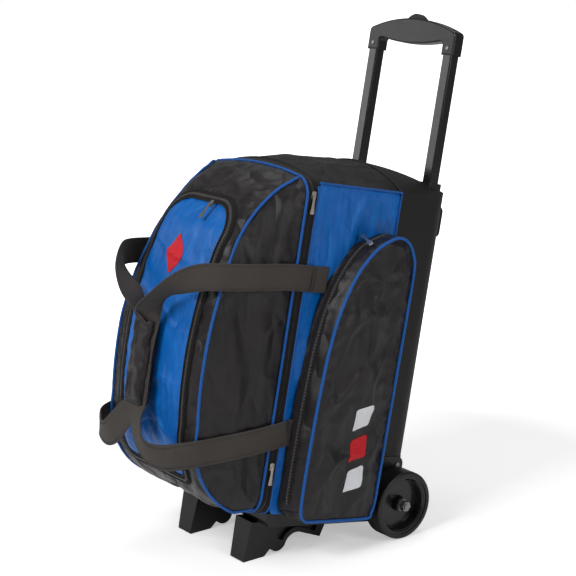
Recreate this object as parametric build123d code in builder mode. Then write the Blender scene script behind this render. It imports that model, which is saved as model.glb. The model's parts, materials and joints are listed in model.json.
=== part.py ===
"""Two-ball roller bag for bowling, standing on its front legs and rear wheels with the trolley handle up.

Every piece is drawn upright in the bag's own axes (X right, Y back, Z up the bag's back),
then save() leans it back into the standing pose.
"""

import math
import os

from build123d import *

os.makedirs("parts", exist_ok=True)

# Standing pose
lean_deg = 11.0
origin_y = 131.0  # where the row's origin lies along the floor, from the bag's own origin

# Bag body
half_width = 126.0
front_y = -10.0
seam_y = 157.0
back_y = 266.0
body_bottom = 84.0
body_top = 591.0
crown = 37.0
front_crown = 22.0
panel = 5.0
housing_bottom = 171.0
housing_wall = 4.0
housing_corner = 37.0

# Front lid with the shoe compartment
hinge_y = -21.0
lid_y = -32.0
lid_side_taper = 11.0
lid_front_y = -165.0
lid_wall = 4.0
lid_top = 604.0
lid_corner = 30.0
piping = 2.0
tape = 3.0

# Shoe flap
flap_half = 80.0
flap_low = 131.0
flap_high = 540.0
flap_gap = 4.0
zip_band = 10.0

# Side pockets
pocket_out = 170.0
pocket_wall = 3.0
pocket_bottom = 84.0

# Base, legs and wheels
base_half = 120.0
base_low = 62.0
base_front = -10.0
base_back = 251.0
leg_in = 56.0
leg_out = 88.0
wheel_radius = 55.0
wheel_y = 230.0
wheel_in = 134.0
wheel_out = 168.0
axle_radius = 5.0
running_gap = 0.05

# Balls
ball_radius = 108.0
ball_y = 121.0
lower_ball_z = 216.0
upper_ball_z = 462.0

# Trolley handle
tube_x = 89.0
tube_y = 248.0
tube_w = 20.0
tube_d = 18.0
tube_wall = 1.4
slide_gap = 0.3
guide_wall = 1.7
guide_low = 183.0
guide_top = 600.0
inner_low = 394.0
inner_top = 845.5
collar_low = 814.0
grip_end = 102.4
grip_depth = 21.4
pin_z = 404.0
pin_radius = 3.0
slide_down = 202.0
slide_up = 115.0

# Webbing
web_width = 40.0
web_thick = 2.0
upper_web = 424.0
lower_web = 170.0
sew_y = -3.0
web_x = half_width + 3.2
grip_web_y = -191.0

lean = math.radians(lean_deg)
wheel_z = (wheel_radius + wheel_y * math.sin(lean)) / math.cos(lean)
tidy_crown = body_top + crown
standing = Location((0, -origin_y, 0)) * Location((0, 0, 0), (-lean_deg, 0, 0))


def save(builder, label):
    """Lean a finished piece back with the bag, label it and write it."""
    piece = standing * builder.part
    piece.label = label
    export_step(piece, f"parts/{label}.step")


def mirrored(piece):
    """The left-hand twin of a right-hand piece."""
    with BuildPart() as twin:
        add(piece.part)
        mirror(about=Plane.YZ, mode=Mode.REPLACE)
    return twin


def front(y):
    """Upright plane facing forward at depth y, with the bag's X and Z as its axes."""
    return Plane(origin=(0, y, 0), x_dir=(1, 0, 0), z_dir=(0, -1, 0))


def side(x):
    """Upright plane facing right at x, with the bag's Y and Z as its axes."""
    return Plane(origin=(x, 0, 0), x_dir=(0, 1, 0), z_dir=(1, 0, 0))


def floor_z(y):
    """Height of the floor under a point of the leaning bag."""
    return y * math.tan(lean)


def block(x0, x1, y0, y1, z0, z1):
    """Plain block between two corners, used as a cutter or a flat panel."""
    with BuildPart() as piece:
        with BuildSketch(Plane.XY.offset(z0)):
            with Locations(((x0 + x1) / 2, (y0 + y1) / 2)):
                Rectangle(x1 - x0, y1 - y0)
        extrude(amount=z1 - z0)
    return piece.part


def crowned_outline(half, low, shoulder, rise):
    """Front outline with straight sides and a top that rises to the middle."""
    with BuildSketch() as outline:
        with BuildLine():
            Polyline((-half, shoulder), (-half, low), (half, low), (half, shoulder))
            ThreePointArc((half, shoulder), (0, shoulder + rise), (-half, shoulder))
        make_face()
    return outline.sketch


# ---------------------------------------------------------------- bag body


with BuildPart() as side_panel_right:
    with BuildSketch(side(half_width - panel)):
        with Locations(((front_y + seam_y) / 2, (body_bottom + body_top - panel) / 2)):
            Rectangle(seam_y - front_y, body_top - panel - body_bottom)
    extrude(amount=panel)
save(side_panel_right, "side_panel_right")
save(mirrored(side_panel_right), "side_panel_left")


with BuildPart() as top_panel:
    for depth, rise in ((front_y, front_crown), (seam_y, crown)):
        with BuildSketch(front(depth)):
            with BuildLine():
                low = body_top - panel
                ThreePointArc((-half_width, body_top), (0, body_top + rise), (half_width, body_top))
                Line((half_width, body_top), (half_width, low))
                ThreePointArc((half_width, low), (0, low + rise), (-half_width, low))
                Line((-half_width, low), (-half_width, body_top))
            make_face()
    loft()
save(top_panel, "top_panel")


with BuildPart() as bottom_panel:
    with BuildSketch(Plane.XY.offset(body_bottom)):
        with Locations((0, (front_y + seam_y) / 2)):
            Rectangle(2 * (half_width - panel), seam_y - front_y)
    extrude(amount=panel)
save(bottom_panel, "bottom_panel")


def housing_form(inset):
    """Rear housing as a solid: rounded back corners, crowned top that falls to the back."""
    half = half_width - inset
    back = back_y - inset
    top = body_top - inset
    radius = housing_corner - inset
    with BuildPart() as form:
        with BuildSketch(Plane.XY.offset(housing_bottom)) as plan:
            with Locations((0, (seam_y + back) / 2)):
                Rectangle(2 * half, back - seam_y)
            fillet(plan.vertices().group_by(Axis.Y)[-1], radius)
        extrude(amount=tidy_crown + crown - housing_bottom)
        with BuildSketch(front(back_y)):
            add(crowned_outline(half, housing_bottom, top, crown))
        extrude(amount=back_y - seam_y, mode=Mode.INTERSECT)
        with BuildSketch(side(-half_width)):
            with BuildLine():
                Line((seam_y, housing_bottom), (back, housing_bottom))
                Line((back, housing_bottom), (back, top - 20))
                RadiusArc((back, top - 20), (back - 22, top + 12), -24)
                ThreePointArc((back - 22, top + 12), (205 - inset, top + 29), (seam_y, top + crown))
                Line((seam_y, top + crown), (seam_y, housing_bottom))
            make_face()
        extrude(amount=2 * half_width, mode=Mode.INTERSECT)
    return form.part


bezel_w = tube_w + 10
bezel_d = tube_d + 8

housing_outer = housing_form(0)
housing_inner = housing_form(housing_wall)
with BuildPart() as rear_housing:
    add(housing_outer)
    add(housing_inner, mode=Mode.SUBTRACT)
    with BuildSketch(Plane.XY.offset(body_top - 30)):
        with Locations((-tube_x, tube_y), (tube_x, tube_y)):
            Rectangle(bezel_w, bezel_d)
    extrude(amount=100, mode=Mode.SUBTRACT)
save(rear_housing, "rear_housing")


board_y = 231.0
with BuildPart() as back_board:
    with BuildSketch(front(board_y + 4)) as board_face:
        with Locations((0, (112 + 583) / 2)):
            Rectangle(2 * 113, 583 - 112)
        fillet(board_face.vertices(), 20)
    extrude(amount=4)
save(back_board, "back_board")


def base_form(half, inset):
    """Moulded base: a shallow tray under the bag that turns up behind the lower ball."""
    low = base_low + inset
    back = base_back - inset
    first = base_front + inset
    with BuildPart() as form:
        with BuildSketch(side(-half)):
            with BuildLine():
                Polyline(
                    (first, body_bottom),
                    (first, low + 10),
                    (first + 10, low),
                    (back - 15, low),
                    (back, low + 15),
                    (back, housing_bottom),
                    (seam_y, housing_bottom),
                    (seam_y, body_bottom),
                    close=True,
                )
            make_face()
        extrude(amount=2 * half)
    return form.part


base_outer = base_form(base_half, 0)
base_inner = base_form(base_half - panel, panel)
with BuildPart() as base_tray:
    add(base_outer)
    fillet(base_tray.edges().filter_by(Axis.X).group_by(Axis.Z)[0], 6)
    add(base_inner, mode=Mode.SUBTRACT)
    with BuildSketch(side(-base_half)):
        with Locations((wheel_y, wheel_z)):
            Circle(axle_radius + running_gap)
    extrude(amount=2 * base_half, mode=Mode.SUBTRACT)
save(base_tray, "base_tray")


with BuildPart() as front_leg_right:
    with BuildSketch(side(leg_in - 6)):
        with BuildLine():
            Polyline(
                (138, base_low),
                (-13, base_low),
                (-16, floor_z(-16)),
                (24, floor_z(24)),
                (34, 18),
            )
            ThreePointArc((34, 18), (52, 13), (62, 27))
            ThreePointArc((62, 27), (70, 38), (86, 42))
            Line((86, 42), (130, 32))
            Line((130, 32), (138, base_low))
        make_face()
    extrude(amount=leg_out - leg_in + 12)
    with BuildSketch(front(200)):
        with BuildLine():
            Polyline(
                (leg_in - 5, base_low),
                (leg_in, -10),
                (leg_out, -10),
                (leg_out + 5, base_low),
                close=True,
            )
        make_face()
    extrude(amount=260, mode=Mode.INTERSECT)
    fillet(front_leg_right.edges().filter_by(Axis.X).group_by(Axis.Z)[0], 2)
    with BuildSketch(side(leg_out - 3)):
        with BuildLine():
            Line((40, 54), (120, 54))
            Line((120, 54), (118, 42))
            Line((118, 42), (84, 50))
            ThreePointArc((84, 50), (66, 46), (55, 30))
            ThreePointArc((55, 30), (42, 36), (40, 54))
        make_face()
    extrude(amount=20, mode=Mode.SUBTRACT)
save(front_leg_right, "front_leg_right")
save(mirrored(front_leg_right), "front_leg_left")


with BuildPart() as wheel_brackets:
    with BuildSketch(side(base_half)) as plate:
        with Locations((208, 117)):
            Rectangle(88, 106)
        fillet(plate.vertices(), 14)
    extrude(amount=6)
    with BuildSketch(side(base_half)):
        with Locations((wheel_y, wheel_z)):
            Circle(20)
    extrude(amount=wheel_in - 2 - base_half, taper=20)
    with BuildSketch(side(base_half)):
        with Locations((wheel_y, wheel_z)):
            Circle(axle_radius + running_gap)
    extrude(amount=40, mode=Mode.SUBTRACT)
    mirror(about=Plane.YZ)
save(wheel_brackets, "wheel_brackets")


nut_in = wheel_out - 7
with BuildPart() as axle:
    with BuildSketch(side(-nut_in - 8)):
        with Locations((wheel_y, wheel_z)):
            Circle(axle_radius)
    extrude(amount=2 * (nut_in + 8))
save(axle, "axle")


with BuildPart() as wheel_nuts:
    for start, way in ((nut_in, 1), (-nut_in, -1)):
        with BuildSketch(side(start)):
            with Locations((wheel_y, wheel_z)):
                Circle(9.5)
                Circle(axle_radius, mode=Mode.SUBTRACT)
        extrude(amount=2 * way)
        with BuildSketch(side(start + 2 * way)):
            with Locations((wheel_y, wheel_z)):
                RegularPolygon(8.5, 6)
                Circle(axle_radius, mode=Mode.SUBTRACT)
        extrude(amount=10 * way)
        with BuildSketch(side(start + 8 * way)):
            with Locations((wheel_y, wheel_z)):
                Circle(axle_radius)
        extrude(amount=6 * way)
save(wheel_nuts, "wheel_nuts")


with BuildPart() as rear_bumpers:
    for x in (-85, 85):
        with BuildSketch(front(back_y + 16)) as pad:
            with Locations((x, 550)):
                Rectangle(24, 52)
            fillet(pad.vertices(), 10)
        extrude(amount=16)
    fillet(rear_bumpers.faces().group_by(Axis.Y)[-1].edges(), 6)
save(rear_bumpers, "rear_bumpers")


def wheel_profile_plane():
    """Plane through the axle whose axes are the bag's X and the wheel's radius."""
    return Plane(origin=(0, wheel_y, wheel_z), x_dir=(1, 0, 0), z_dir=(0, -1, 0))


axle_line = Axis((0, wheel_y, wheel_z), (1, 0, 0))
tyre_seat = 47.0
hub_in = wheel_in + 1
hub_out = wheel_out - 7.5
web_at = 146.0
with BuildPart() as wheel_right:
    with BuildSketch(wheel_profile_plane()):
        with BuildLine():
            Polyline(
                (hub_in, axle_radius + running_gap),
                (hub_in, 12),
                (web_at, 13),
                (web_at, 40),
                (wheel_in + 1, 42),
                (wheel_in + 1, tyre_seat),
                (wheel_out - 1.5, tyre_seat),
                (wheel_out - 1.5, 44),
                (wheel_out - 5, 41),
                (web_at + 5, 39),
                (web_at + 5, 13),
                (hub_out, 11),
                (hub_out, axle_radius + running_gap),
                close=True,
            )
        make_face()
    revolve(axis=axle_line)
save(wheel_right, "wheel_right")
save(mirrored(wheel_right), "wheel_left")


with BuildPart() as tyre_right:
    with BuildSketch(wheel_profile_plane()) as tread:
        with Locations(((wheel_in + wheel_out) / 2, (tyre_seat + wheel_radius) / 2)):
            Rectangle(wheel_out - wheel_in, wheel_radius - tyre_seat)
        fillet(tread.vertices().group_by(Axis.Y)[-1], 3.5)
    revolve(axis=axle_line)
save(tyre_right, "tyre_right")
save(mirrored(tyre_right), "tyre_left")


# ---------------------------------------------------------------- ball bays


def ball_cup(low, ball_z):
    """Foam cradle with a round seat for one ball."""
    with BuildPart() as cup:
        with BuildSketch(Plane.XY.offset(low)) as plan:
            with Locations((0, 115)):
                Rectangle(226, 214)
            fillet(plan.vertices(), 25)
        extrude(amount=46)
        with Locations((0, ball_y, ball_z)):
            Sphere(ball_radius + 1, mode=Mode.SUBTRACT)
    return cup


shelf_low = 326.0
shelf_top = 344.0
save(ball_cup(body_bottom + panel, lower_ball_z), "lower_ball_cup")
save(ball_cup(shelf_top, upper_ball_z), "upper_ball_cup")


with BuildPart() as ball_divider:
    with BuildSketch(Plane.XY.offset(shelf_low)) as plan:
        with Locations((0, (board_y + front_y + 6) / 2)):
            Rectangle(2 * 120.5, board_y - front_y - 6)
        fillet(plan.vertices(), 12)
    extrude(amount=shelf_top - shelf_low)
save(ball_divider, "ball_divider")


# ---------------------------------------------------------------- main zip and piping


def zip_outline(grow):
    """Front outline of the zip line, with rounded corners."""
    half = half_width + grow
    with BuildSketch() as outline:
        add(crowned_outline(half, body_bottom - grow, body_top + grow, lid_top - body_top))
        fillet(outline.vertices(), lid_corner + grow)
    return outline.sketch


def zip_ring(back, depth, grow, thick):
    """Band that follows the zip line round the bag's mouth."""
    with BuildPart() as ring:
        with BuildSketch(front(back)):
            add(zip_outline(grow))
            add(zip_outline(grow - thick), mode=Mode.SUBTRACT)
        extrude(amount=depth)
    return ring


save(zip_ring(front_y, front_y - hinge_y, 0, tape), "body_zip_tape")
save(zip_ring(hinge_y, hinge_y - lid_y, 0, tape), "lid_zip_tape")
save(zip_ring(front_y - 1, 4, piping, piping), "body_piping")
save(zip_ring(lid_y + 3, 4, piping, piping), "lid_piping")


# ---------------------------------------------------------------- lid


def lid_form(inset):
    """Lid as a solid, drawn in by inset: bowed front, rounded outline, sides that close in."""
    half = half_width - inset
    tip = half - lid_side_taper
    low = body_bottom + inset
    bow = lid_front_y + inset
    with BuildPart() as form:
        with BuildSketch(Plane.XY):
            with BuildLine():
                FilletPolyline(
                    (-half - 1, lid_y),
                    (-tip, lid_front_y - 5),
                    (tip, lid_front_y - 5),
                    (half + 1, lid_y),
                    radius=22,
                )
                Line((half + 1, lid_y), (-half - 1, lid_y))
            make_face()
        extrude(amount=lid_top + 40)
        with BuildSketch(side(-half_width - 5)):
            with BuildLine():
                Line((lid_y, low), (-72, low + 3))
                ThreePointArc((-72, low + 3), (-131 + inset, 127 + inset / 2), (bow + 5, 215))
                ThreePointArc((bow + 5, 215), (bow, 340), (bow + 17, 455))
                ThreePointArc(
                    (bow + 17, 455),
                    (-105 + inset * 0.8, 552 - inset * 0.6),
                    (lid_y, lid_top - inset + 1),
                )
                Line((lid_y, lid_top - inset + 1), (lid_y, low))
            make_face()
        extrude(amount=2 * half_width + 10, mode=Mode.INTERSECT)
        with BuildSketch(front(lid_y)):
            add(zip_outline(-inset))
        extrude(amount=lid_y - lid_front_y + 10, mode=Mode.INTERSECT)
    return form.part


def flap_window(grow):
    """Prism through the lid's front in the outline of the shoe flap, grown all round."""
    with BuildPart() as window:
        with BuildSketch(front(lid_y - 40)) as outline:
            with Locations((0, (flap_low + flap_high) / 2)):
                Rectangle(2 * (flap_half + grow), flap_high - flap_low + 2 * grow)
            fillet(outline.vertices().group_by(Axis.Y)[0], 14 + grow)
            fillet(outline.vertices().group_by(Axis.Y)[-1], 44 + grow)
        extrude(amount=150)
    return window.part


lid_outer = lid_form(0)
lid_inner = lid_form(lid_wall)
window_wide = flap_window(zip_band)
window_edge = flap_window(0)
window_flap = flap_window(-flap_gap)

with BuildPart() as lid_shell:
    add(lid_outer)
    add(lid_inner, mode=Mode.SUBTRACT)
    add(window_wide, mode=Mode.SUBTRACT)
save(lid_shell, "lid_shell")


with BuildPart() as shoe_zip_tape:
    add(lid_outer)
    add(lid_inner, mode=Mode.SUBTRACT)
    add(window_wide, mode=Mode.INTERSECT)
    add(window_edge, mode=Mode.SUBTRACT)
save(shoe_zip_tape, "shoe_zip_tape")


with BuildPart() as shoe_flap:
    add(lid_outer)
    add(lid_inner, mode=Mode.SUBTRACT)
    add(window_flap, mode=Mode.INTERSECT)
save(shoe_flap, "shoe_flap")


with BuildPart() as shoe_compartment_back:
    with BuildSketch(front(lid_y - 1)):
        add(zip_outline(-lid_wall - 2.5))
    extrude(amount=3)
save(shoe_compartment_back, "shoe_compartment_back")


# ---------------------------------------------------------------- side pockets


def pocket_outline(front_edge, inset):
    """Teardrop outline of a side pocket, leaning to the back at its top."""
    with BuildSketch() as outline:
        with BuildLine():
            Line((162 - inset, pocket_bottom + inset), (front_edge + 6 + inset, pocket_bottom + inset))
            Spline(
                (front_edge + 6 + inset, pocket_bottom + inset),
                (front_edge + inset, 180),
                (front_edge + 8 + inset, 350),
                (front_edge + 40 + inset, 464 - inset / 2),
                (122, 523 - inset),
                tangents=[(-0.1, 1), (1, 0.1)],
            )
            ThreePointArc((122, 523 - inset), (155 - inset * 0.8, 511 - inset * 0.8), (168 - inset, 474))
            Line((168 - inset, 474), (162 - inset, pocket_bottom + inset))
        make_face()
    return outline.sketch


def pocket_form(inset):
    """Right-hand pocket as a solid between the side panel and its outer face."""
    with BuildPart() as form:
        with BuildSketch(side(half_width)):
            add(pocket_outline(4, inset))
        with BuildSketch(side(pocket_out - inset)):
            add(pocket_outline(15, inset))
        loft()
    return form.part


rim_x = half_width + 7
cover_x = pocket_out - 5
pocket_outer = pocket_form(0)
pocket_inner = pocket_form(pocket_wall)
pocket_base = block(half_width - 1, rim_x, -20, 200, 60, 560)
pocket_back = block(half_width - 1, cover_x, 148, 200, 60, 560)
pocket_floor = block(half_width - 1, cover_x, -20, 200, 60, 100)
pocket_base_cut = block(half_width - 1, rim_x + 0.5, -20, 200, 60, 560)
pocket_back_cut = block(half_width - 1, cover_x + 1, 147.5, 200, 60, 560)
pocket_floor_cut = block(half_width - 1, cover_x + 1, -20, 200, 60, 100.5)

with BuildPart() as pocket_keep:
    add(pocket_base)
    add(pocket_back)
    add(pocket_floor)
    add(pocket_outer, mode=Mode.INTERSECT)
    add(pocket_inner, mode=Mode.SUBTRACT)
save(pocket_keep, "pocket_right_gusset")
save(mirrored(pocket_keep), "pocket_left_gusset")


with BuildPart() as pocket_cover:
    add(pocket_outer)
    add(pocket_inner, mode=Mode.SUBTRACT)
    add(pocket_base_cut, mode=Mode.SUBTRACT)
    add(pocket_back_cut, mode=Mode.SUBTRACT)
    add(pocket_floor_cut, mode=Mode.SUBTRACT)
save(pocket_cover, "pocket_right_cover")
save(mirrored(pocket_cover), "pocket_left_cover")


# ---------------------------------------------------------------- carry loops


def web_arm(low):
    """One arm of a carry loop: along the side, round the lid's corner and out to the hand."""
    with BuildPart() as arm:
        with BuildSketch(Plane.XY.offset(low)):
            with BuildLine():
                FilletPolyline(
                    (web_x, sew_y - 0.2),
                    (web_x, lid_y),
                    (117.6, -160),
                    (100, -176),
                    (14, grip_web_y),
                    (2, grip_web_y),
                    radius=14,
                )
            trace(line_width=web_thick)
        extrude(amount=web_width)
    return arm.part


upper_arm = web_arm(upper_web)
lower_arm = web_arm(lower_web)
hand_part = block(2, 21, grip_web_y - 1, grip_web_y + 1, lower_web, upper_web + web_width)
with BuildPart() as carry_loop_right:
    add(upper_arm)
    add(lower_arm)
    add(hand_part)
save(carry_loop_right, "carry_loop_right")
save(mirrored(carry_loop_right), "carry_loop_left")


with BuildPart() as carry_wrap:
    with BuildSketch(Plane.XY.offset(228)) as padding:
        with Locations((0, grip_web_y)):
            Rectangle(48, 28)
        fillet(padding.vertices(), 12)
        with Locations((0, grip_web_y)):
            Rectangle(43, 6, mode=Mode.SUBTRACT)
    extrude(amount=127)
save(carry_wrap, "carry_wrap")


with BuildPart() as strap_anchors:
    for x in (half_width, -web_x - web_thick / 2):
        for low, reach in ((lower_web, 5), (upper_web, 12)):
            with BuildSketch(side(x)):
                with Locations((sew_y + 0.2, low + web_width / 2)):
                    Rectangle(reach, web_width, align=(Align.MIN, Align.CENTER))
            extrude(amount=web_x + web_thick / 2 - half_width)
save(strap_anchors, "strap_anchors")


# ---------------------------------------------------------------- trolley handle


def tube_section(plane, width, depth, wall, low, high):
    """Rectangular tube with rounded corners, standing between two heights."""
    with BuildPart() as tube:
        with BuildSketch(plane.offset(low)) as ring:
            with Locations((tube_x, tube_y)):
                RectangleRounded(width, depth, 2.5)
                RectangleRounded(width - 2 * wall, depth - 2 * wall, 1.1, mode=Mode.SUBTRACT)
        extrude(amount=high - low)
    return tube.part


lock_heights = (pin_z - slide_down, pin_z, pin_z + slide_up)
guide_w = tube_w + 2 * (slide_gap + guide_wall)
guide_d = tube_d + 2 * (slide_gap + guide_wall)
guide_blank = tube_section(Plane.XY, guide_w, guide_d, guide_wall, guide_low, guide_top)
with BuildPart() as guide_tube_right:
    add(guide_blank)
    with BuildSketch(side(tube_x)):
        for z in lock_heights:
            with Locations((tube_y, z)):
                Circle(pin_radius + running_gap)
    extrude(amount=-20, mode=Mode.SUBTRACT)
save(guide_tube_right, "guide_tube_right")
save(mirrored(guide_tube_right), "guide_tube_left")


inner_blank = tube_section(Plane.XY, tube_w, tube_d, tube_wall, inner_low, inner_top)
with BuildPart() as inner_tube_right:
    add(inner_blank)
    with BuildSketch(side(tube_x)):
        with Locations((tube_y, pin_z)):
            Circle(pin_radius + running_gap)
    extrude(amount=-20, mode=Mode.SUBTRACT)
save(inner_tube_right, "inner_tube_right")
save(mirrored(inner_tube_right), "inner_tube_left")


with BuildPart() as tube_bezels:
    with BuildSketch(Plane.XY.offset(guide_top)) as plate:
        with Locations((-tube_x, tube_y), (tube_x, tube_y)):
            RectangleRounded(bezel_w - 0.4, bezel_d - 0.4, 4)
            RectangleRounded(tube_w + 2 * slide_gap, tube_d + 2 * slide_gap, 2.5, mode=Mode.SUBTRACT)
    extrude(amount=11)
save(tube_bezels, "tube_bezels")


with BuildPart() as tube_base_bracket:
    with BuildSketch(Plane.XY.offset(guide_low - 10)):
        with Locations((0, tube_y)):
            RectangleRounded(2 * tube_x + guide_w, guide_d, 4)
    extrude(amount=10)
    with BuildSketch(Plane.XY.offset(guide_low)):
        with Locations((-tube_x, tube_y), (tube_x, tube_y)):
            RectangleRounded(tube_w - 2, tube_d - 2, 2)
    extrude(amount=8)
save(tube_base_bracket, "tube_base_bracket")


def grip_outline():
    """Front view of the trolley grip: two collars joined by a bowed crossbar."""
    collar_in = 2 * tube_x - grip_end
    with BuildSketch() as outline:
        with BuildLine():
            Line((-grip_end, collar_low), (-grip_end, 850))
            ThreePointArc((-grip_end, 850), (0, 869), (grip_end, 850))
            Line((grip_end, 850), (grip_end, collar_low))
            Line((grip_end, collar_low), (collar_in, collar_low))
            Line((collar_in, collar_low), (collar_in, 836))
            ThreePointArc((collar_in, 836), (0, 828), (-collar_in, 836))
            Line((-collar_in, 836), (-collar_in, collar_low))
            Line((-collar_in, collar_low), (-grip_end, collar_low))
        make_face()
        fillet(outline.vertices().group_by(Axis.Y)[-1], 8)
        fillet(outline.vertices().group_by(Axis.Y)[-3], 6)
    return outline.sketch


button_half = 22.0
button_depth = 12.0
socket_a = block(-tube_x - 10.1, -tube_x + 10.1, tube_y - 9.1, tube_y + 9.1, 800, inner_top + 0.5)
socket_b = block(tube_x - 10.1, tube_x + 10.1, tube_y - 9.1, tube_y + 9.1, 800, inner_top + 0.5)
channel = block(-tube_x - 2, tube_x + 2, tube_y - 7.5, tube_y + 7.5, 840, 855)
button_slot = block(-button_half, button_half, tube_y - button_depth / 2, tube_y + button_depth / 2, 845, 890)


def grip_half(back, rear):
    """One moulded half of the trolley grip, hollow for the release yoke."""
    with BuildPart() as half:
        with BuildSketch(front(back)):
            add(grip_outline())
        extrude(amount=grip_depth / 2)
        outer_face = half.faces().sort_by(Axis.Y)[-1 if rear else 0]
        fillet(outer_face.edges(), 3)
        add(socket_a, mode=Mode.SUBTRACT)
        add(socket_b, mode=Mode.SUBTRACT)
        add(channel, mode=Mode.SUBTRACT)
        add(button_slot, mode=Mode.SUBTRACT)
    return half


save(grip_half(tube_y, False), "grip_front_shell")
save(grip_half(tube_y + grip_depth / 2, True), "grip_rear_shell")


rivet_z = 825.0
with BuildPart() as grip_screws:
    with BuildSketch(front(tube_y - grip_depth / 2)):
        with Locations((-tube_x, rivet_z), (tube_x, rivet_z)):
            Circle(3.5)
    extrude(amount=1.2)
    fillet(grip_screws.faces().sort_by(Axis.Y)[0:2].edges(), 0.8)
save(grip_screws, "grip_screws")


with BuildPart() as push_button:
    with BuildSketch(front(tube_y + button_depth / 2 - 0.3)):
        with BuildLine():
            reach = button_half - 0.3
            Polyline((-reach, 866), (-reach, 856), (reach, 856), (reach, 866))
            ThreePointArc((reach, 866), (0, 877), (-reach, 866))
        make_face()
    extrude(amount=button_depth - 0.6)
    fillet(push_button.edges().filter_by(GeomType.CIRCLE), 2)
save(push_button, "push_button")


rod_y = tube_y + 3.4
cam_foot = 319.3
with BuildPart() as release_yoke:
    with BuildSketch(Plane.XY.offset(850)):
        with Locations((0, tube_y)):
            Rectangle(2 * tube_x, 14)
    extrude(amount=4)
    with BuildSketch(front(rod_y + 3)):
        for way in (-1, 1):
            with BuildLine():
                Polyline(
                    (way * 81, 81 + cam_foot),
                    (way * 86, 86 + cam_foot),
                    (way * 86, 852),
                    (way * 81, 852),
                    close=True,
                )
            make_face()
    extrude(amount=3)
save(release_yoke, "release_yoke")


with BuildPart() as button_spring:
    with BuildLine() as coil:
        Helix(pitch=2.2, height=7.6, radius=4, center=(0, tube_y, 841))
    with BuildSketch(Plane(origin=coil.line @ 0, z_dir=coil.line % 0)):
        Circle(0.5)
    sweep(is_frenet=True)
save(button_spring, "button_spring")


with BuildPart() as lock_pin_right:
    with BuildSketch(front(tube_y + 6.6)):
        with BuildLine():
            Polyline(
                (83, pin_z - 5),
                (93, pin_z - 5),
                (93, pin_z + 5),
                (90, pin_z + 5),
                (83, pin_z - 2),
                close=True,
            )
        make_face()
    extrude(amount=13.2)
    with BuildSketch(side(84)):
        with Locations((tube_y, pin_z)):
            Circle(pin_radius)
    extrude(amount=-7.6)
save(lock_pin_right, "lock_pin_right")
save(mirrored(lock_pin_right), "lock_pin_left")


# ---------------------------------------------------------------- fasteners


with BuildPart() as chassis_screws:
    with BuildSketch(Plane.XY.offset(base_low)):
        with GridLocations(200, 150, 2, 2):
            with Locations((0, 105)):
                Circle(4)
    extrude(amount=-1.6)
    with BuildSketch(side(base_half + 6)):
        with Locations((174, 78), (174, 156), (240, 156)):
            Circle(4)
    extrude(amount=1.6)
    with BuildSketch(side(-base_half - 6)):
        with Locations((174, 78), (174, 156), (240, 156)):
            Circle(4)
    extrude(amount=-1.6)
save(chassis_screws, "chassis_screws")


# ---------------------------------------------------------------- zip sliders and pulls


def tab_outline():
    """Pull tab hanging from its eye, with a waist."""
    with BuildSketch() as outline:
        with BuildLine():
            Polyline((-2.2, 2.5), (2.2, 2.5), (2.2, -12), (4, -26), (-4, -26), (-2.2, -12), close=True)
        make_face()
        fillet(outline.vertices(), 1.2)
    return outline.sketch


tab_thick = 1.4
upper_pull = Plane(origin=(half_width + 4, hinge_y, 570), x_dir=(0, 1, 0), z_dir=(1, 0, 0))
lower_pull = Plane(origin=(half_width + 4, hinge_y, 158), x_dir=(0, 1, 0), z_dir=(1, 0, 0))
shoe_pull = Plane(origin=(30, -133, 536), x_dir=(1, 0, 0), z_dir=(0, -0.84, 0.54))
pocket_pull = Plane(origin=(140, 78, 520), x_dir=(0.3, 0.75, 0.59), z_dir=(0.2, -0.66, 0.72))


def pull_tab(plane):
    """One pull tab on its own plane."""
    with BuildPart() as tab:
        with BuildSketch(plane):
            add(tab_outline())
        extrude(amount=tab_thick)
    return tab


def slider(plane):
    """Zip slider body under a pull tab."""
    with BuildPart() as body:
        with BuildSketch(plane.offset(-3.2)) as plan:
            with Locations((0, 2)):
                RectangleRounded(8, 12, 2.5)
        extrude(amount=3)
    return body.part


save(pull_tab(upper_pull), "main_zip_pull_upper")
save(pull_tab(lower_pull), "main_zip_pull_lower")
save(pull_tab(shoe_pull), "shoe_zip_pull")
pocket_tab = pull_tab(pocket_pull)
save(pocket_tab, "pocket_zip_pull_right")
save(mirrored(pocket_tab), "pocket_zip_pull_left")

upper_slider = slider(upper_pull)
lower_slider = slider(lower_pull)
with BuildPart() as main_zip_sliders:
    add(upper_slider)
    add(lower_slider)
save(main_zip_sliders, "main_zip_sliders")

shoe_slider = slider(shoe_pull)
with BuildPart() as shoe_zip_slider:
    add(shoe_slider)
save(shoe_zip_slider, "shoe_zip_slider")

pocket_slider = slider(pocket_pull)
with BuildPart() as pocket_zip_slider:
    add(pocket_slider)
save(pocket_zip_slider, "pocket_zip_slider_right")
save(mirrored(pocket_zip_slider), "pocket_zip_slider_left")
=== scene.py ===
"""Two-ball trolley bag: fabric, webbing, zips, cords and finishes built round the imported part."""

import json
import math

import bpy
import numpy as np
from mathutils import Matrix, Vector, noise
from mathutils.bvhtree import BVHTree

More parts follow.
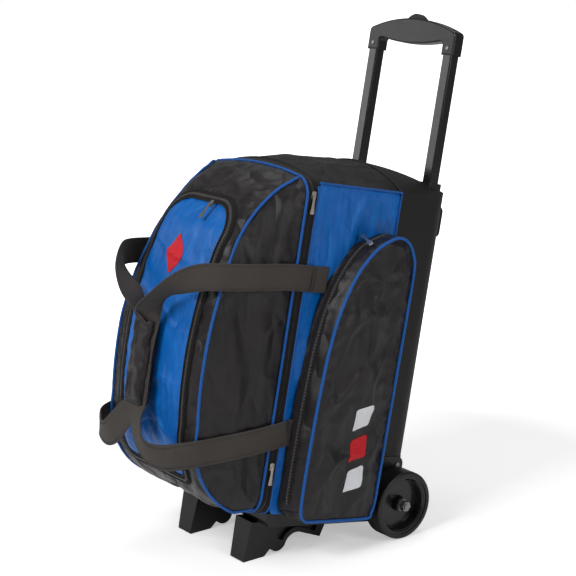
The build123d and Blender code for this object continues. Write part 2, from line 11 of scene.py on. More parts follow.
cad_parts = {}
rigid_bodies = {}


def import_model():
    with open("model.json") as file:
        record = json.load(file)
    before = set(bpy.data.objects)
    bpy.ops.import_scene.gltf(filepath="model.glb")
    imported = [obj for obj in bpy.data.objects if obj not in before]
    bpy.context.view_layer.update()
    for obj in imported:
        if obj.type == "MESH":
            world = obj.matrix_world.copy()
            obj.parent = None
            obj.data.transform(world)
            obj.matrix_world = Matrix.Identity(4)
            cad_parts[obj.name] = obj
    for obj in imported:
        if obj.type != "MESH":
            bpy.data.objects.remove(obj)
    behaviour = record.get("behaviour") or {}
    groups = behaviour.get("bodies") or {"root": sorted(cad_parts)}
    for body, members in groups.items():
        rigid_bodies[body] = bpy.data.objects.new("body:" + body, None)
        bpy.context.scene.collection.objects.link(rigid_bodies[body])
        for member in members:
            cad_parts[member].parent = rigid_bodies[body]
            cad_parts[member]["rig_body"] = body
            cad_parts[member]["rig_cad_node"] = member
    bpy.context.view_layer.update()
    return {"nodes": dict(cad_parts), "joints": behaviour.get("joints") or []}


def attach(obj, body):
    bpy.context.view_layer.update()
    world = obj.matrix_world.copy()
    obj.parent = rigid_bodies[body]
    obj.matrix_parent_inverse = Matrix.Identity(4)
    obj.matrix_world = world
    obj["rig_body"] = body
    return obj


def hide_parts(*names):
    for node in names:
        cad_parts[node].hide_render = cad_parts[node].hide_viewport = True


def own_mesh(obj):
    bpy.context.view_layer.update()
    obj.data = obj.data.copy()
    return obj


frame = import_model()
nodes = frame["nodes"]
joints = {j["name"]: j for j in frame["joints"]}

# ------------------------------------------------------------------ the bag's own leaning frame
# Bag frame in mm: x right, y back, z up along the leaning bag. It is read from two joints.

slide_axis = joints["trolley_slide"]["axis"]
lean_s, lean_c = slide_axis[1], slide_axis[2]
hinge_at = [1000 * v for v in joints["lid_hinge"]["pos_m"]]
hinge_bag = (-21.0, 84.0)
shift_y = hinge_at[1] - (hinge_bag[0] * lean_c + hinge_bag[1] * lean_s)
shift_z = hinge_at[2] - (-hinge_bag[0] * lean_s + hinge_bag[1] * lean_c)


def row(p):
    """Bag-frame points in mm to row-frame metres."""
    p = np.asarray(p, float)
    x, y, z = p[..., 0], p[..., 1], p[..., 2]
    out = np.stack([x, y * lean_c + z * lean_s + shift_y, -y * lean_s + z * lean_c + shift_z], -1)
    return out / 1000


def bag(p):
    """Row-frame metres to bag-frame mm."""
    p = np.asarray(p, float) * 1000
    x, y, z = p[..., 0], p[..., 1] - shift_y, p[..., 2] - shift_z
    return np.stack([x, y * lean_c - z * lean_s, y * lean_s + z * lean_c], -1)


def span(node):
    """Lowest and highest corner of a CAD node in the bag frame, in mm."""
    co = np.array([v.co for v in nodes[node].data.vertices])
    co = bag(co)
    return co.min(0), co.max(0)


panel_lo, panel_hi = span("side_panel_right")
top_lo, top_hi = span("top_panel")
lid_hi = span("lid_shell")[1]
flap_lo, flap_hi = span("shoe_flap")
pocket_hi = span("pocket_right_cover")[1]
loop_hi = span("carry_loop_right")[1]
wrap_lo, wrap_hi = span("carry_wrap")

half = panel_hi[0]
front_y, seam_y = top_lo[1], top_hi[1]
low_z, shoulder = panel_lo[2], panel_hi[2] + 5
crown_z = top_hi[2]
top_co = bag(np.array([v.co for v in nodes["top_panel"].data.vertices]))
mouth_z = top_co[top_co[:, 1] < front_y + 1][:, 2].max()
lid_y = lid_hi[1]
lid_top = lid_hi[2]
flap_half = flap_hi[0] + 4
flap_low, flap_high = flap_lo[2] - 4, flap_hi[2] + 4
pocket_out = pocket_hi[0]

# ------------------------------------------------------------------ materials


def srgb(r, g, b):
    """sRGB bytes to a linear colour."""
    out = []
    for v in (r, g, b):
        v = v / 255
        out.append(v / 12.92 if v <= 0.04045 else ((v + 0.055) / 1.055) ** 2.4)
    return (*out, 1.0)


class Finish:
    """A node material under construction."""

    def __init__(self, name):
        self.mat = bpy.data.materials.new(name)
        self.mat.use_nodes = True
        self.tree = self.mat.node_tree
        self.bsdf = self.tree.nodes["Principled BSDF"]

    def node(self, kind, **settings):
        made = self.tree.nodes.new(kind)
        for key, value in settings.items():
            if key.startswith("in_"):
                made.inputs[int(key[3:])].default_value = value
            else:
                setattr(made, key, value)
        return made

    def link(self, out, target):
        self.tree.links.new(out, target)

    def coords(self, which, scale):
        source = self.node("ShaderNodeTexCoord")
        mapping = self.node("ShaderNodeMapping")
        mapping.inputs["Scale"].default_value = scale
        self.link(source.outputs[which], mapping.inputs["Vector"])
        return mapping.outputs[0]

    def noise(self, vector, scale, detail=3.0, rough=0.55):
        tex = self.node("ShaderNodeTexNoise")
        tex.inputs["Scale"].default_value = scale
        tex.inputs["Detail"].default_value = detail
        tex.inputs["Roughness"].default_value = rough
        self.link(vector, tex.inputs["Vector"])
        return tex.outputs["Fac"]

    def wave(self, vector, scale, axis, distortion=0.0, profile="SIN"):
        tex = self.node("ShaderNodeTexWave", wave_type="BANDS", bands_direction=axis, wave_profile=profile)
        tex.inputs["Scale"].default_value = scale
        tex.inputs["Distortion"].default_value = distortion
        self.link(vector, tex.inputs["Vector"])
        return tex.outputs["Fac"]

    def math(self, op, a, b):
        made = self.node("ShaderNodeMath", operation=op)
        for i, v in enumerate((a, b)):
            if isinstance(v, (int, float)):
                made.inputs[i].default_value = v
            else:
                self.link(v, made.inputs[i])
        return made.outputs[0]

    def spread(self, fac, lo, hi):
        made = self.node("ShaderNodeMapRange")
        made.inputs["To Min"].default_value = lo
        made.inputs["To Max"].default_value = hi
        self.link(fac, made.inputs["Value"])
        return made.outputs[0]

    def mix(self, fac, a, b):
        made = self.node("ShaderNodeMix", data_type="RGBA")
        made.inputs["A"].default_value = (0, 0, 0, 1)
        for socket, v in ((made.inputs[6], a), (made.inputs[7], b)):
            if isinstance(v, tuple):
                socket.default_value = v
            else:
                self.link(v, socket)
        if isinstance(fac, (int, float)):
            made.inputs[0].default_value = fac
        else:
            self.link(fac, made.inputs[0])
        return made.outputs[2]

    def bump(self, height, strength, distance=0.0005, under=None):
        made = self.node("ShaderNodeBump")
        made.inputs["Strength"].default_value = strength
        made.inputs["Distance"].default_value = distance
        self.link(height, made.inputs["Height"])
        if under is not None:
            self.link(under, made.inputs["Normal"])
        return made.outputs[0]

    def done(self, colour, rough, normal=None, **values):
        for key, v in (("Base Color", colour), ("Roughness", rough), ("Normal", normal)):
            if v is None:
                continue
            if isinstance(v, (int, float, tuple)):
                self.bsdf.inputs[key].default_value = v
            else:
                self.link(v, self.bsdf.inputs[key])
        for key, v in values.items():
            self.bsdf.inputs[key.replace("_", " ")].default_value = v
        return self.mat


def woven(name, dark, light, rough, pitch, sheen, coat=0.0, weave=0.35, streak=0.5, crease=0.3):
    """Coated nylon: plain weave over UVs in mm, soft streaks along the warp and faint handling marks."""
    f = Finish(name)
    uv = f.coords("UV", (1, 1, 1))
    warp = f.wave(uv, 1 / pitch / 2, "X")
    weft = f.wave(uv, 1 / pitch / 2, "Y")
    cloth = f.math("MAXIMUM", warp, weft)
    long_uv = f.coords("UV", (0.16, 0.012, 1))
    streaks = f.noise(long_uv, 1.0, 4.0, 0.6)
    obj = f.coords("Object", (1, 1, 1))
    blotch = f.noise(obj, 9.0, 3.0, 0.5)
    scuff = f.noise(obj, 60.0, 5.0, 0.65)
    tone = f.math("ADD", f.math("MULTIPLY", streaks, streak), f.math("MULTIPLY", blotch, 1 - streak))
    colour = f.mix(f.spread(tone, -0.35, 1.35), dark, light)
    colour = f.mix(f.math("MULTIPLY", cloth, 0.22), colour, dark)
    gloss = f.spread(scuff, rough - 0.06, rough + 0.1)
    ridge = f.noise(f.coords("Object", (1, 1, 0.4)), 21.0, 1.0, 0.4)
    ridge = f.math("ABSOLUTE", f.math("SUBTRACT", ridge, 0.5), 0.0)
    normal = f.bump(ridge, crease, 0.04)
    normal = f.bump(blotch, 0.1, 0.004, normal)
    normal = f.bump(cloth, weave, 0.0002, normal)
    return f.done(
        colour, gloss, normal, Sheen_Weight=sheen, Sheen_Roughness=0.35, Coat_Weight=coat, Coat_Roughness=0.35,
        Specular_IOR_Level=0.3, Anisotropic=0.35,
    )


def ribbed(name, dark, light, rough, rib, across="Y", depth=0.6):
    """Webbing or zip tape: ribs across the band with finer threads between them."""
    f = Finish(name)
    uv = f.coords("UV", (1, 1, 1))
    ribs = f.wave(uv, 1 / rib / 2, across)
    fine = f.wave(uv, 1 / rib, "X" if across == "Y" else "Y")
    cloth = f.math("ADD", f.math("MULTIPLY", ribs, 0.7), f.math("MULTIPLY", fine, 0.3))
    obj = f.coords("Object", (1, 1, 1))
    fuzz = f.noise(obj, 420.0, 4.0, 0.7)
    wear = f.noise(obj, 14.0, 3.0, 0.5)
    colour = f.mix(f.math("MULTIPLY", cloth, 0.6), dark, light)
    colour = f.mix(f.spread(wear, 0.0, 0.25), colour, light)
    normal = f.bump(fuzz, 0.25, 0.0003)
    normal = f.bump(cloth, depth, 0.0004, normal)
    gloss = f.spread(fuzz, rough - 0.08, rough + 0.1)
    return f.done(colour, gloss, normal, Sheen_Weight=0.04, Sheen_Roughness=0.5, Specular_IOR_Level=0.2)


def moulded(name, dark, light, rough, grain=900.0, bump=0.12, coat=0.0):
    """Moulded plastic: fine grain, faint flow variation and rubbed, slightly lighter patches."""
    f = Finish(name)
    obj = f.coords("Object", (1, 1, 1))
    fine = f.noise(obj, grain, 2.0, 0.6)
    flow = f.noise(obj, 7.0, 3.0, 0.5)
    rub = f.noise(obj, 45.0, 6.0, 0.7)
    colour = f.mix(f.spread(flow, 0.0, 0.8), dark, light)
    colour = f.mix(f.math("MULTIPLY", f.math("GREATER_THAN", rub, 0.66), 0.12), colour, light)
    gloss = f.spread(rub, rough - 0.08, rough + 0.12)
    normal = f.bump(fine, bump, 0.0002)
    return f.done(colour, gloss, normal, Coat_Weight=coat, Coat_Roughness=0.15, Specular_IOR_Level=0.35)


def metal(name, tint, rough, brushed=True):
    """Plated or bare metal with fine brushing and small dents."""
    f = Finish(name)
    obj = f.coords("Object", (1, 1, 14 if brushed else 1))
    brush = f.noise(obj, 260.0, 4.0, 0.7)
    plain = f.coords("Object", (1, 1, 1))
    dent = f.noise(plain, 90.0, 2.0, 0.5)
    colour = f.mix(f.spread(dent, 0.0, 1.0), tint, tuple(0.75 * c for c in tint[:3]) + (1,))
    normal = f.bump(dent, 0.12, 0.0006)
    normal = f.bump(brush, 0.06, 0.0001, normal)
    return f.done(colour, f.spread(brush, rough - 0.07, rough + 0.1), normal, Metallic=1.0)


blue = woven("blue_satin", srgb(0, 72, 152), srgb(0, 122, 210), 0.36, 0.7, 0.0, 0.03, 0.3, 0.7, 0.5)
black = woven("black_satin", srgb(12, 9, 10), srgb(42, 37, 38), 0.3, 0.7, 0.02, 0.1, 0.3, 0.45, 0.6)
black_matt = woven("black_cloth", srgb(9, 7, 7), srgb(28, 24, 24), 0.5, 0.9, 0.02, 0.0, 0.45, 0.3)
lining = woven("grey_lining", srgb(92, 94, 98), srgb(128, 130, 134), 0.75, 1.1, 0.2, 0.0, 0.4, 0.3)
cord_blue = ribbed("blue_cord", srgb(2, 62, 138), srgb(40, 112, 190), 0.42, 1.2, "X", 0.35)
cord_black = ribbed("black_cord", srgb(14, 13, 13), srgb(44, 41, 41), 0.5, 1.2, "X", 0.35)
web = ribbed("webbing_black", srgb(38, 35, 33), srgb(98, 92, 88), 0.72, 1.6, "Y", 0.8)
tape = ribbed("zip_tape_black", srgb(8, 7, 7), srgb(34, 30, 29), 0.68, 1.0, "Y", 0.5)
thread = ribbed("thread_black", srgb(16, 15, 15), srgb(58, 54, 54), 0.5, 0.5, "X", 0.4)
coil = moulded("zip_coil", srgb(34, 32, 31), srgb(96, 92, 88), 0.34, 1200.0, 0.1, 0.2)
foam = moulded("cup_foam", srgb(30, 30, 32), srgb(56, 56, 58), 0.92, 520.0, 0.8)
housing = moulded("housing_shell", srgb(7, 6, 6), srgb(24, 21, 20), 0.5, 1500.0, 0.22)
base = moulded("base_moulding", srgb(12, 12, 12), srgb(30, 29, 28), 0.36, 1300.0, 0.2, 0.1)
board = moulded("board_sheet", srgb(30, 29, 29), srgb(54, 52, 50), 0.7, 300.0, 0.4)
tube = moulded("tube_lacquer", srgb(7, 7, 8), srgb(20, 20, 21), 0.22, 2200.0, 0.05, 0.5)
grip = moulded("grip_moulding", srgb(10, 10, 10), srgb(28, 27, 27), 0.3, 1500.0, 0.12, 0.2)
button = moulded("button_moulding", srgb(16, 16, 16), srgb(40, 38, 38), 0.4, 1500.0, 0.2)
rubber = moulded("rubber_foot", srgb(12, 12, 12), srgb(34, 32, 31), 0.62, 800.0, 0.35)
wheel_black = moulded("wheel_moulding", srgb(10, 9, 9), srgb(30, 26, 25), 0.26, 1400.0, 0.1, 0.3)
tyre_black = moulded("tyre_tread", srgb(12, 11, 11), srgb(32, 29, 28), 0.4, 900.0, 0.25, 0.1)
steel = metal("zinc_steel", srgb(150, 150, 152), 0.34)
nickel = metal("nickel_plate", srgb(206, 198, 186), 0.2, False)
red = woven("mark_red", srgb(176, 6, 22), srgb(232, 34, 50), 0.5, 0.8, 0.05, 0.0, 0.6, 0.4)
white = woven("mark_white", srgb(206, 208, 212), srgb(244, 245, 247), 0.55, 0.8, 0.05, 0.0, 0.4, 0.3)

cad_finish = {
    "rear_housing": housing, "back_board": board, "base_tray": base, "front_leg_right": base,
    "front_leg_left": base, "wheel_brackets": base, "axle": steel, "wheel_nuts": steel,
    "rear_bumpers": rubber, "guide_tube_right": steel, "guide_tube_left": steel, "tube_bezels": grip,
    "tube_base_bracket": base, "chassis_screws": steel, "main_zip_sliders": nickel, "inner_tube_right": tube,
    "inner_tube_left": tube, "grip_front_shell": grip, "grip_rear_shell": grip, "grip_screws": steel,
    "button_spring": steel, "push_button": button, "release_yoke": button, "lock_pin_right": steel,
    "lock_pin_left": steel, "wheel_right": wheel_black, "wheel_left": wheel_black, "tyre_right": tyre_black,
    "tyre_left": tyre_black, "shoe_zip_slider": nickel, "pocket_zip_slider_right": nickel,
    "pocket_zip_slider_left": nickel, "main_zip_pull_upper": nickel, "main_zip_pull_lower": nickel,
    "shoe_zip_pull": nickel, "pocket_zip_pull_right": nickel, "pocket_zip_pull_left": nickel,
}
for name, finish in cad_finish.items():
    nodes[name].data.materials.clear()
    nodes[name].data.materials.append(finish)

# ------------------------------------------------------------------ mesh tools


def piece(name, points, faces, uv, finish, body, slot, stands_for=(), smooth=True):
    """A mesh object from bag-frame points, with UVs in mm, riding on a CAD body."""
    mesh = bpy.data.meshes.new(name)
    mesh.from_pydata([tuple(p) for p in row(points)], [], [list(map(int, f)) for f in faces])
    layer = mesh.uv_layers.new(name="UVMap")
    loops = np.zeros(len(mesh.loops), int)
    mesh.loops.foreach_get("vertex_index", loops)
    layer.data.foreach_set("uv", np.asarray(uv, np.float32)[loops].ravel())
    mesh.polygons.foreach_set("use_smooth", [smooth] * len(mesh.polygons))
    mesh.materials.append(finish)
    mesh.update()
    made = bpy.data.objects.new(name, mesh)
    bpy.context.scene.collection.objects.link(made)
    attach(made, body)
    if stands_for:
        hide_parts(*stands_for)
    return made


def thick(obj, mm, offset=-1.0, levels=1):
    """Cloth thickness and one subdivision, as modifiers."""
    solid = obj.modifiers.new("thickness", "SOLIDIFY")
    solid.thickness = mm / 1000
    solid.offset = offset
    if levels:
        sub = obj.modifiers.new("smooth", "SUBSURF")
        sub.levels = levels
        sub.render_levels = levels
    return obj


def resample(points, step, closed=False):
    """Points at even spacing along a polyline."""
    p = np.asarray(points, float)
    if closed:
        p = np.vstack([p, p[:1]])
    gap = np.linalg.norm(np.diff(p, axis=0), axis=1)
    along = np.concatenate([[0], np.cumsum(gap)])
    count = max(int(round(along[-1] / step)), 4)
    at = np.linspace(0, along[-1], count + 1)
    if closed:
        at = at[:-1]
    return np.stack([np.interp(at, along, p[:, k]) for k in range(p.shape[1])], 1)


def curve(points, step=4.0, closed=False):
    """A smooth Catmull-Rom line through points, evenly resampled."""
    p = np.asarray(points, float)
    n = len(p)
    out = []
    last = n if closed else n - 1
    for i in range(last):
        a = p[(i - 1) % n] if closed or i else 2 * p[0] - p[1]
        b, c = p[i], p[(i + 1) % n]
        d = p[(i + 2) % n] if closed or i + 2 < n else 2 * c - b
        for t in np.linspace(0, 1, 12, endpoint=False):
            out.append(
                0.5 * (2 * b + (c - a) * t + (2 * a - 5 * b + 4 * c - d) * t**2 + (3 * b - a - 3 * c + d) * t**3)
            )
    if not closed:
        out.append(p[-1])
    return resample(out, step, closed)


def unit(v):
    v = np.asarray(v, float)
    return v / np.maximum(np.linalg.norm(v, axis=-1, keepdims=True), 1e-9)


def tangents(p, closed=False):
    if closed:
        return unit(np.roll(p, -1, 0) - np.roll(p, 1, 0))
    return unit(np.gradient(p, axis=0))


def sweep(path, across, shape, closed=False, caps=True):
    """Points, faces and UVs of a section carried along a path. Section x runs along across, y along the normal."""
    t = tangents(path, closed)
    across = unit(across - (across * t).sum(1, keepdims=True) * t)
    normal = np.cross(across, t)
    n, m = len(path), len(shape)
    pts = path[:, None] + shape[None, :, :1] * across[:, None] + shape[None, :, 1:2] * normal[:, None]
    gap = np.linalg.norm(np.diff(path, axis=0), axis=1)
    along = np.concatenate([[0], np.cumsum(gap)])
    ring = np.concatenate([[0], np.cumsum(np.linalg.norm(np.diff(shape[:, :2], axis=0), axis=1))])
    uv = np.stack(np.broadcast_arrays(ring[None, :], along[:, None]), -1).reshape(-1, 2)
    faces = []
    for i in range(n if closed else n - 1):
        j = (i + 1) % n
        for k in range(m):
            q = (k + 1) % m
            faces.append((i * m + k, i * m + q, j * m + q, j * m + k))
    if not closed and caps:
        faces.append(tuple(range(m - 1, -1, -1)))
        faces.append(tuple((n - 1) * m + k for k in range(m)))
    return pts.reshape(-1, 3), faces, uv


def frames_along(path, closed=False, start=(0.3, 0.2, 1)):
    """A sideways direction carried along a path without twisting."""
    t = tangents(path, closed)
    side = unit(np.cross(t[0], start))
    out = [side]
    for k in range(1, len(path)):
        side = unit(side - (side @ t[k]) * t[k])
        out.append(side)
    return np.array(out)


def circle(radius, sides=8, flat=1.0):
    a = np.linspace(0, 2 * math.pi, sides, endpoint=False)
    return np.stack([radius * np.cos(a), radius * flat * np.sin(a)], 1)


def merge(parts):
    """Joins (points, faces, uv) sets into one."""
    points, faces, uvs, base_index = [], [], [], 0
    for p, f, u in parts:
        points.append(p)
        uvs.append(u)
        faces += [tuple(i + base_index for i in face) for face in f]
        base_index += len(p)
    return np.vstack(points), faces, np.vstack(uvs)


def cord(path, radius, closed=False, sides=8):
    """A round cord; its twist shows as a small change of radius along it."""
    wob = 1 + 0.05 * np.sin(np.arange(len(path)) * 1.9)
    across = frames_along(path, closed)
    pts, faces, uv = sweep(path, across, circle(radius, sides), closed)
    pts = pts.reshape(len(path), sides, 3)
    pts = path[:, None] + (pts - path[:, None]) * wob[:, None, None]
    return pts.reshape(-1, 3), faces, uv


def beads(path, across, normal, pitch, size):
    """Small rounded blocks set along a path: zip coils."""
    path_n = resample(np.hstack([path, across, normal]), pitch)
    cube = np.array([(x, y, z) for x in (-1, 1) for y in (-1, 1) for z in (-1, 1)], float)
    cube[:, 2] = np.where(cube[:, 2] > 0, 0.5, -1)
    quads = [(0, 1, 3, 2), (4, 6, 7, 5), (0, 4, 5, 1), (2, 3, 7, 6), (0, 2, 6, 4), (1, 5, 7, 3)]
    parts = []
    t = tangents(path_n[:, :3])
    for k, p in enumerate(path_n):
        a, n = unit(p[3:6]), unit(p[6:9])
        lean = 0.35 if k % 2 else -0.35
        d = unit(t[k] + lean * a)
        sway = a * (size[0] * (0.35 if k % 2 else -0.35))
        pts = p[:3] + sway + cube[:, :1] * a * size[0] + cube[:, 1:2] * d * size[1] + cube[:, 2:3] * n * size[2]
        parts.append((pts, quads, cube[:, :2]))
    return merge(parts)


def stitches(path, outward, length=3.2, gap=1.6, radius=0.38, lift=0.25):
    """Lock stitches: short threads lying along a seam, dipping at both ends."""
    line = resample(np.hstack([path, outward]), 0.8)
    per = max(int(round(length / 0.8)), 2)
    skip = max(int(round(gap / 0.8)), 1)
    parts = []
    for k in range(0, len(line) - per, per + skip):
        seg = line[k : k + per + 1]
        rise = lift - 0.7 * np.abs(np.linspace(-1, 1, len(seg))) ** 3
        pts = seg[:, :3] + unit(seg[:, 3:6]) * rise[:, None]
        parts.append(sweep(pts, unit(seg[:, 3:6]), circle(radius, 5)))
    return merge(parts)


def wander(a, b, seed, scale):
    """Smooth noise between -1 and 1 over 2-D positions in mm."""
    a, b = np.broadcast_arrays(a, b)
    flat = [noise.noise(Vector((x / scale, y / scale, seed * 7.31))) for x, y in zip(a.ravel(), b.ravel())]
    return np.array(flat).reshape(a.shape) * 1.6


def rumple(a, b, seam, seed, soft=1.0, pucker=1.0, tilt=0.0):
    """Height of slack cloth in mm: long folds, short creases, and puckers that fade away from the seam."""
    ca, sa = math.cos(tilt), math.sin(tilt)
    u, v = a * ca + b * sa, -a * sa + b * ca
    free = 1 - np.exp(-seam / 22.0)
    folds = wander(u, v * 0.32, seed, 34.0)
    sharp = 1 - np.abs(wander(u, v * 0.5, seed + 3, 52.0)) * 2.2
    crease = np.maximum(sharp, 0) ** 3
    fine = wander(u, v * 0.6, seed + 5, 11.0)
    near = np.exp(-seam / 9.0) * (1 - np.exp(-seam / 2.0))
    gathers = wander(a, b, seed + 8, 7.5)
    return soft * free * (2.4 * folds + 3.0 * crease + 0.5 * fine) + pucker * near * 3.0 * gathers


def grid_faces(rows, cols, keep=None):
    faces = []
    for i in range(rows - 1):
        for j in range(cols - 1):
            quad = (i * cols + j, i * cols + j + 1, (i + 1) * cols + j + 1, (i + 1) * cols + j)
            if keep is None or all(keep[q] for q in quad):
                faces.append(quad)
    return faces


def settle(obj, pinned, grow=0.02, cap=5.0, frames=16, bend=0.6, seed=1):
    """Cloth held at its seams and cut slightly too large relaxes into folds; each point's travel is capped in mm."""
    mesh = obj.data
    count = len(mesh.vertices)
    rest = np.zeros(count * 3)
    mesh.vertices.foreach_get("co", rest)
    rest = rest.reshape(-1, 3)
    group = obj.vertex_groups.new(name="seam")
    group.add([int(i) for i in pinned], 1.0, "REPLACE")
    cloth = obj.modifiers.new("cloth", "CLOTH")
    s = cloth.settings
    s.quality = 5
    s.mass = 0.2
    s.tension_stiffness = 20
    s.compression_stiffness = 20
    s.shear_stiffness = 6
    s.bending_stiffness = bend
    s.tension_damping = 8
    s.compression_damping = 8
    s.vertex_group_mass = "seam"
    s.shrink_min = -grow
    s.shrink_max = -grow
    s.effector_weights.gravity = 0
    cloth.collision_settings.use_collision = False
    cloth.point_cache.frame_start = 1
    cloth.point_cache.frame_end = frames
    for f in range(1, frames + 1):
        bpy.context.scene.frame_set(f)
    posed = obj.evaluated_get(bpy.context.evaluated_depsgraph_get())
    out = np.zeros(count * 3)
    posed.data.vertices.foreach_get("co", out)
    move = (out.reshape(-1, 3) - rest) * 1000
    size = np.linalg.norm(move, axis=1, keepdims=True)
    move *= np.tanh(size / cap) * cap / np.maximum(size, 1e-6)
    obj.modifiers.remove(cloth)
    mesh.vertices.foreach_set("co", (rest + move / 1000).ravel())
    mesh.update()
    bpy.context.scene.frame_set(1)
    return obj


def draped(pts, height, target, aim):
    """Points laid on another piece, found along aim, and lifted off it by their height."""
    mesh = bpy.data.objects[target].data
    on = bag(np.array([v.co for v in mesh.vertices]))
    cloth_tree = BVHTree.FromPolygons([tuple(p) for p in on], [tuple(f.vertices) for f in mesh.polygons])
    aim, out = Vector(aim), []
    for p, h in zip(pts, height):
        hit, normal = cloth_tree.ray_cast(Vector(p) - aim * 60, aim)[:2]
        if hit is None:
            out.append(tuple(p))
            continue
        normal = -normal if normal.dot(aim) > 0 else normal
        out.append(tuple(hit + normal * (0.9 + 0.5 * max(float(h), 0.0))))
    return np.array(out)


def patch(name, outline, spine, place, finish, body, slot, stands_for=(), step=5.0, seed=1, soft=1.0, pucker=1.0,
          puff=0.0, mm=2.0, tilt=0.0, relax=0.0, flip=False, inner=None, over=None):
    """A sewn panel: rings of points from its seam in to its spine, lifted by place(a, b, height)."""
    edge = resample(outline, step, True)
    middle = np.array([spine(p) for p in edge])
    reach = np.linalg.norm(edge - middle, axis=1)
    rings = max(int(round(reach.max() / step)), 3)
    share = np.linspace(0, 1, rings + 1)
    flat = edge[None] + (middle - edge)[None] * share[:, None, None]
    seam = reach[None] * share[:, None]
    count = len(edge)
    flat = flat.reshape(-1, 2)
    seam = seam.reshape(-1)
    keep = list(range(rings * count))
    core = flat[rings * count :]
    main = int(np.ptp(core[:, 1]) > np.ptp(core[:, 0]))
    cells = np.round(core[:, main] / (1.7 * step)).astype(int)
    seen, index = {}, list(keep)
    for k, key in enumerate(cells):
        if key not in seen:
            seen[key] = len(keep)
            keep.append(rings * count + k)
            flat[rings * count + k] = core[cells == key].mean(0)
        index.append(seen[key])
    a, b, d = flat[keep, 0], flat[keep, 1], seam[keep]
    height = rumple(a, b, d, seed, soft, pucker, tilt)
    height = height + puff * (1 - (1 - np.clip(d / reach.max(), 0, 1)) ** 2.2)
    pts = place(a, b, height)
    if over:
        pts = draped(pts, height, *over)
    faces = []
    for i in range(rings):
        for j in range(count):
            q = (j + 1) % count
            face = [index[i * count + j], index[i * count + q], index[(i + 1) * count + q], index[(i + 1) * count + j]]
            face = list(dict.fromkeys(face))
            if len(face) > 2:
                faces.append(face[::-1] if flip else face)
    made = piece(name, pts, faces, np.stack([a, b], 1), finish, body, slot, stands_for)
    if relax:
        settle(made, range(count), relax)
    if inner:
        made.data.materials.append(inner)
    solid = thick(made, mm)
    if inner:
        made.modifiers["thickness"].material_offset = 1
    return solid


def rounded(x0, x1, z0, z1, low_r, high_r):
    """Rectangle outline with one corner radius at the bottom and one at the top."""
    out = []
    for cx, cz, r, a0 in ((x1, z0, low_r, -90), (x1, z1, high_r, 0), (x0, z1, high_r, 90), (x0, z0, low_r, 180)):
        mx = cx - r if cx == x1 else cx + r
        mz = cz + r if cz == z0 else cz - r
        for a in np.radians(np.linspace(a0, a0 + 90, 9)):
            out.append((mx + r * math.cos(a), mz + r * math.sin(a)))
    return np.array(out)


def smooth01(t):
    t = np.clip(t, 0, 1)
    return t * t * (3 - 2 * t)


# ------------------------------------------------------------------ mouth of the bag

arc_r = 30.0


def mouth(rise, grow=0.0, r=arc_r):
    """Closed outline of the mouth in x, z: flat foot, upright sides, rounded corners, crowned top."""
    cx, cz_low = half - r, low_z + r
    touch = cx + 0.31 * r
    cz = shoulder + rise * (1 - (touch / half) ** 2) - 0.95 * r
    pts = [(x, low_z) for x in np.linspace(0, cx, 24)]
    pts += [(cx + r * math.sin(a), cz_low - r * math.cos(a)) for a in np.radians(np.linspace(8, 90, 9))]
    pts += [(half, z) for z in np.linspace(cz_low, cz, 96)[1:]]
    pts += [(cx + r * math.cos(a), cz + r * math.sin(a)) for a in np.radians(np.linspace(8, 71, 8))]
    pts += [(x, shoulder + rise * (1 - (x / half) ** 2)) for x in np.linspace(touch, 0, 28)[1:]]
    right = np.array(pts)
    left = right[::-1][1:-1] * (-1, 1)
    ring = np.vstack([right, left])
    t = tangents(ring, True)
    return ring + grow * np.stack([t[:, 1], -t[:, 0]], 1)


lid_rise = lid_top - shoulder
body_rise = crown_z - shoulder
mouth_rise = mouth_z - shoulder


def ring3(flat, y):
    return np.stack([flat[:, 0], np.full(len(flat), float(y)), flat[:, 1]], 1)


def outward(flat):
    t = tangents(flat, True)
    return np.stack([t[:, 1], np.zeros(len(t)), -t[:, 0]], 1)


lid_ring = mouth(lid_rise)
body_ring = mouth(mouth_rise - 1, 0.0, 20.0)

# ------------------------------------------------------------------ lid surface


shell = nodes["lid_shell"].data
shell_pts = bag(np.array([v.co for v in shell.vertices]))
tree = BVHTree.FromPolygons([tuple(p) for p in shell_pts], [tuple(f.vertices) for f in shell.polygons])
profile = []
for phi in np.radians(np.linspace(-3.5, 184, 420)):
    aim = Vector((0, -math.sin(phi), math.cos(phi)))
    for x in (flap_half + 11.5, 0.5):
        hit = tree.ray_cast(Vector((x, -50, 340)) + aim * 600, -aim)[0]
        if hit is None or hit.y > -31:
            continue
        if x > 1 and (hit.z > flap_high + 14 or hit.z < flap_low - 14):
            continue
        profile.append((hit.y, hit.z))
        break
profile = resample([(lid_y, lid_top)] + profile + [(lid_y, low_z)], 5.0)
profile[1:-1] = (profile[:-2] + 2 * profile[1:-1] + profile[2:]) / 4
front_part = profile[(profile[:, 1] > 100) & (profile[:, 1] < 590)][::-1]


def front_at(z):
    return np.interp(z, front_part[:, 1], front_part[:, 0])


def bulge(x, z):
    side = np.clip(1 - (np.abs(x) / 117) ** 2.4, 0, 1)
    return 7.0 * side * smooth01((z - low_z) / 150) * smooth01((lid_top - z) / 190)


def lid_face(x, z, height):
    """Point on the front of the lid at x, z, lifted out by height."""
    y = front_at(z)
    slope = (front_at(z + 4) - front_at(z - 4)) / 8
    n = 1 / np.sqrt(1 + slope**2)
    y = y - bulge(x, z) + set_back(x, y, z)
    return np.stack([x, y - height * n, z + height * slope * n], -1)


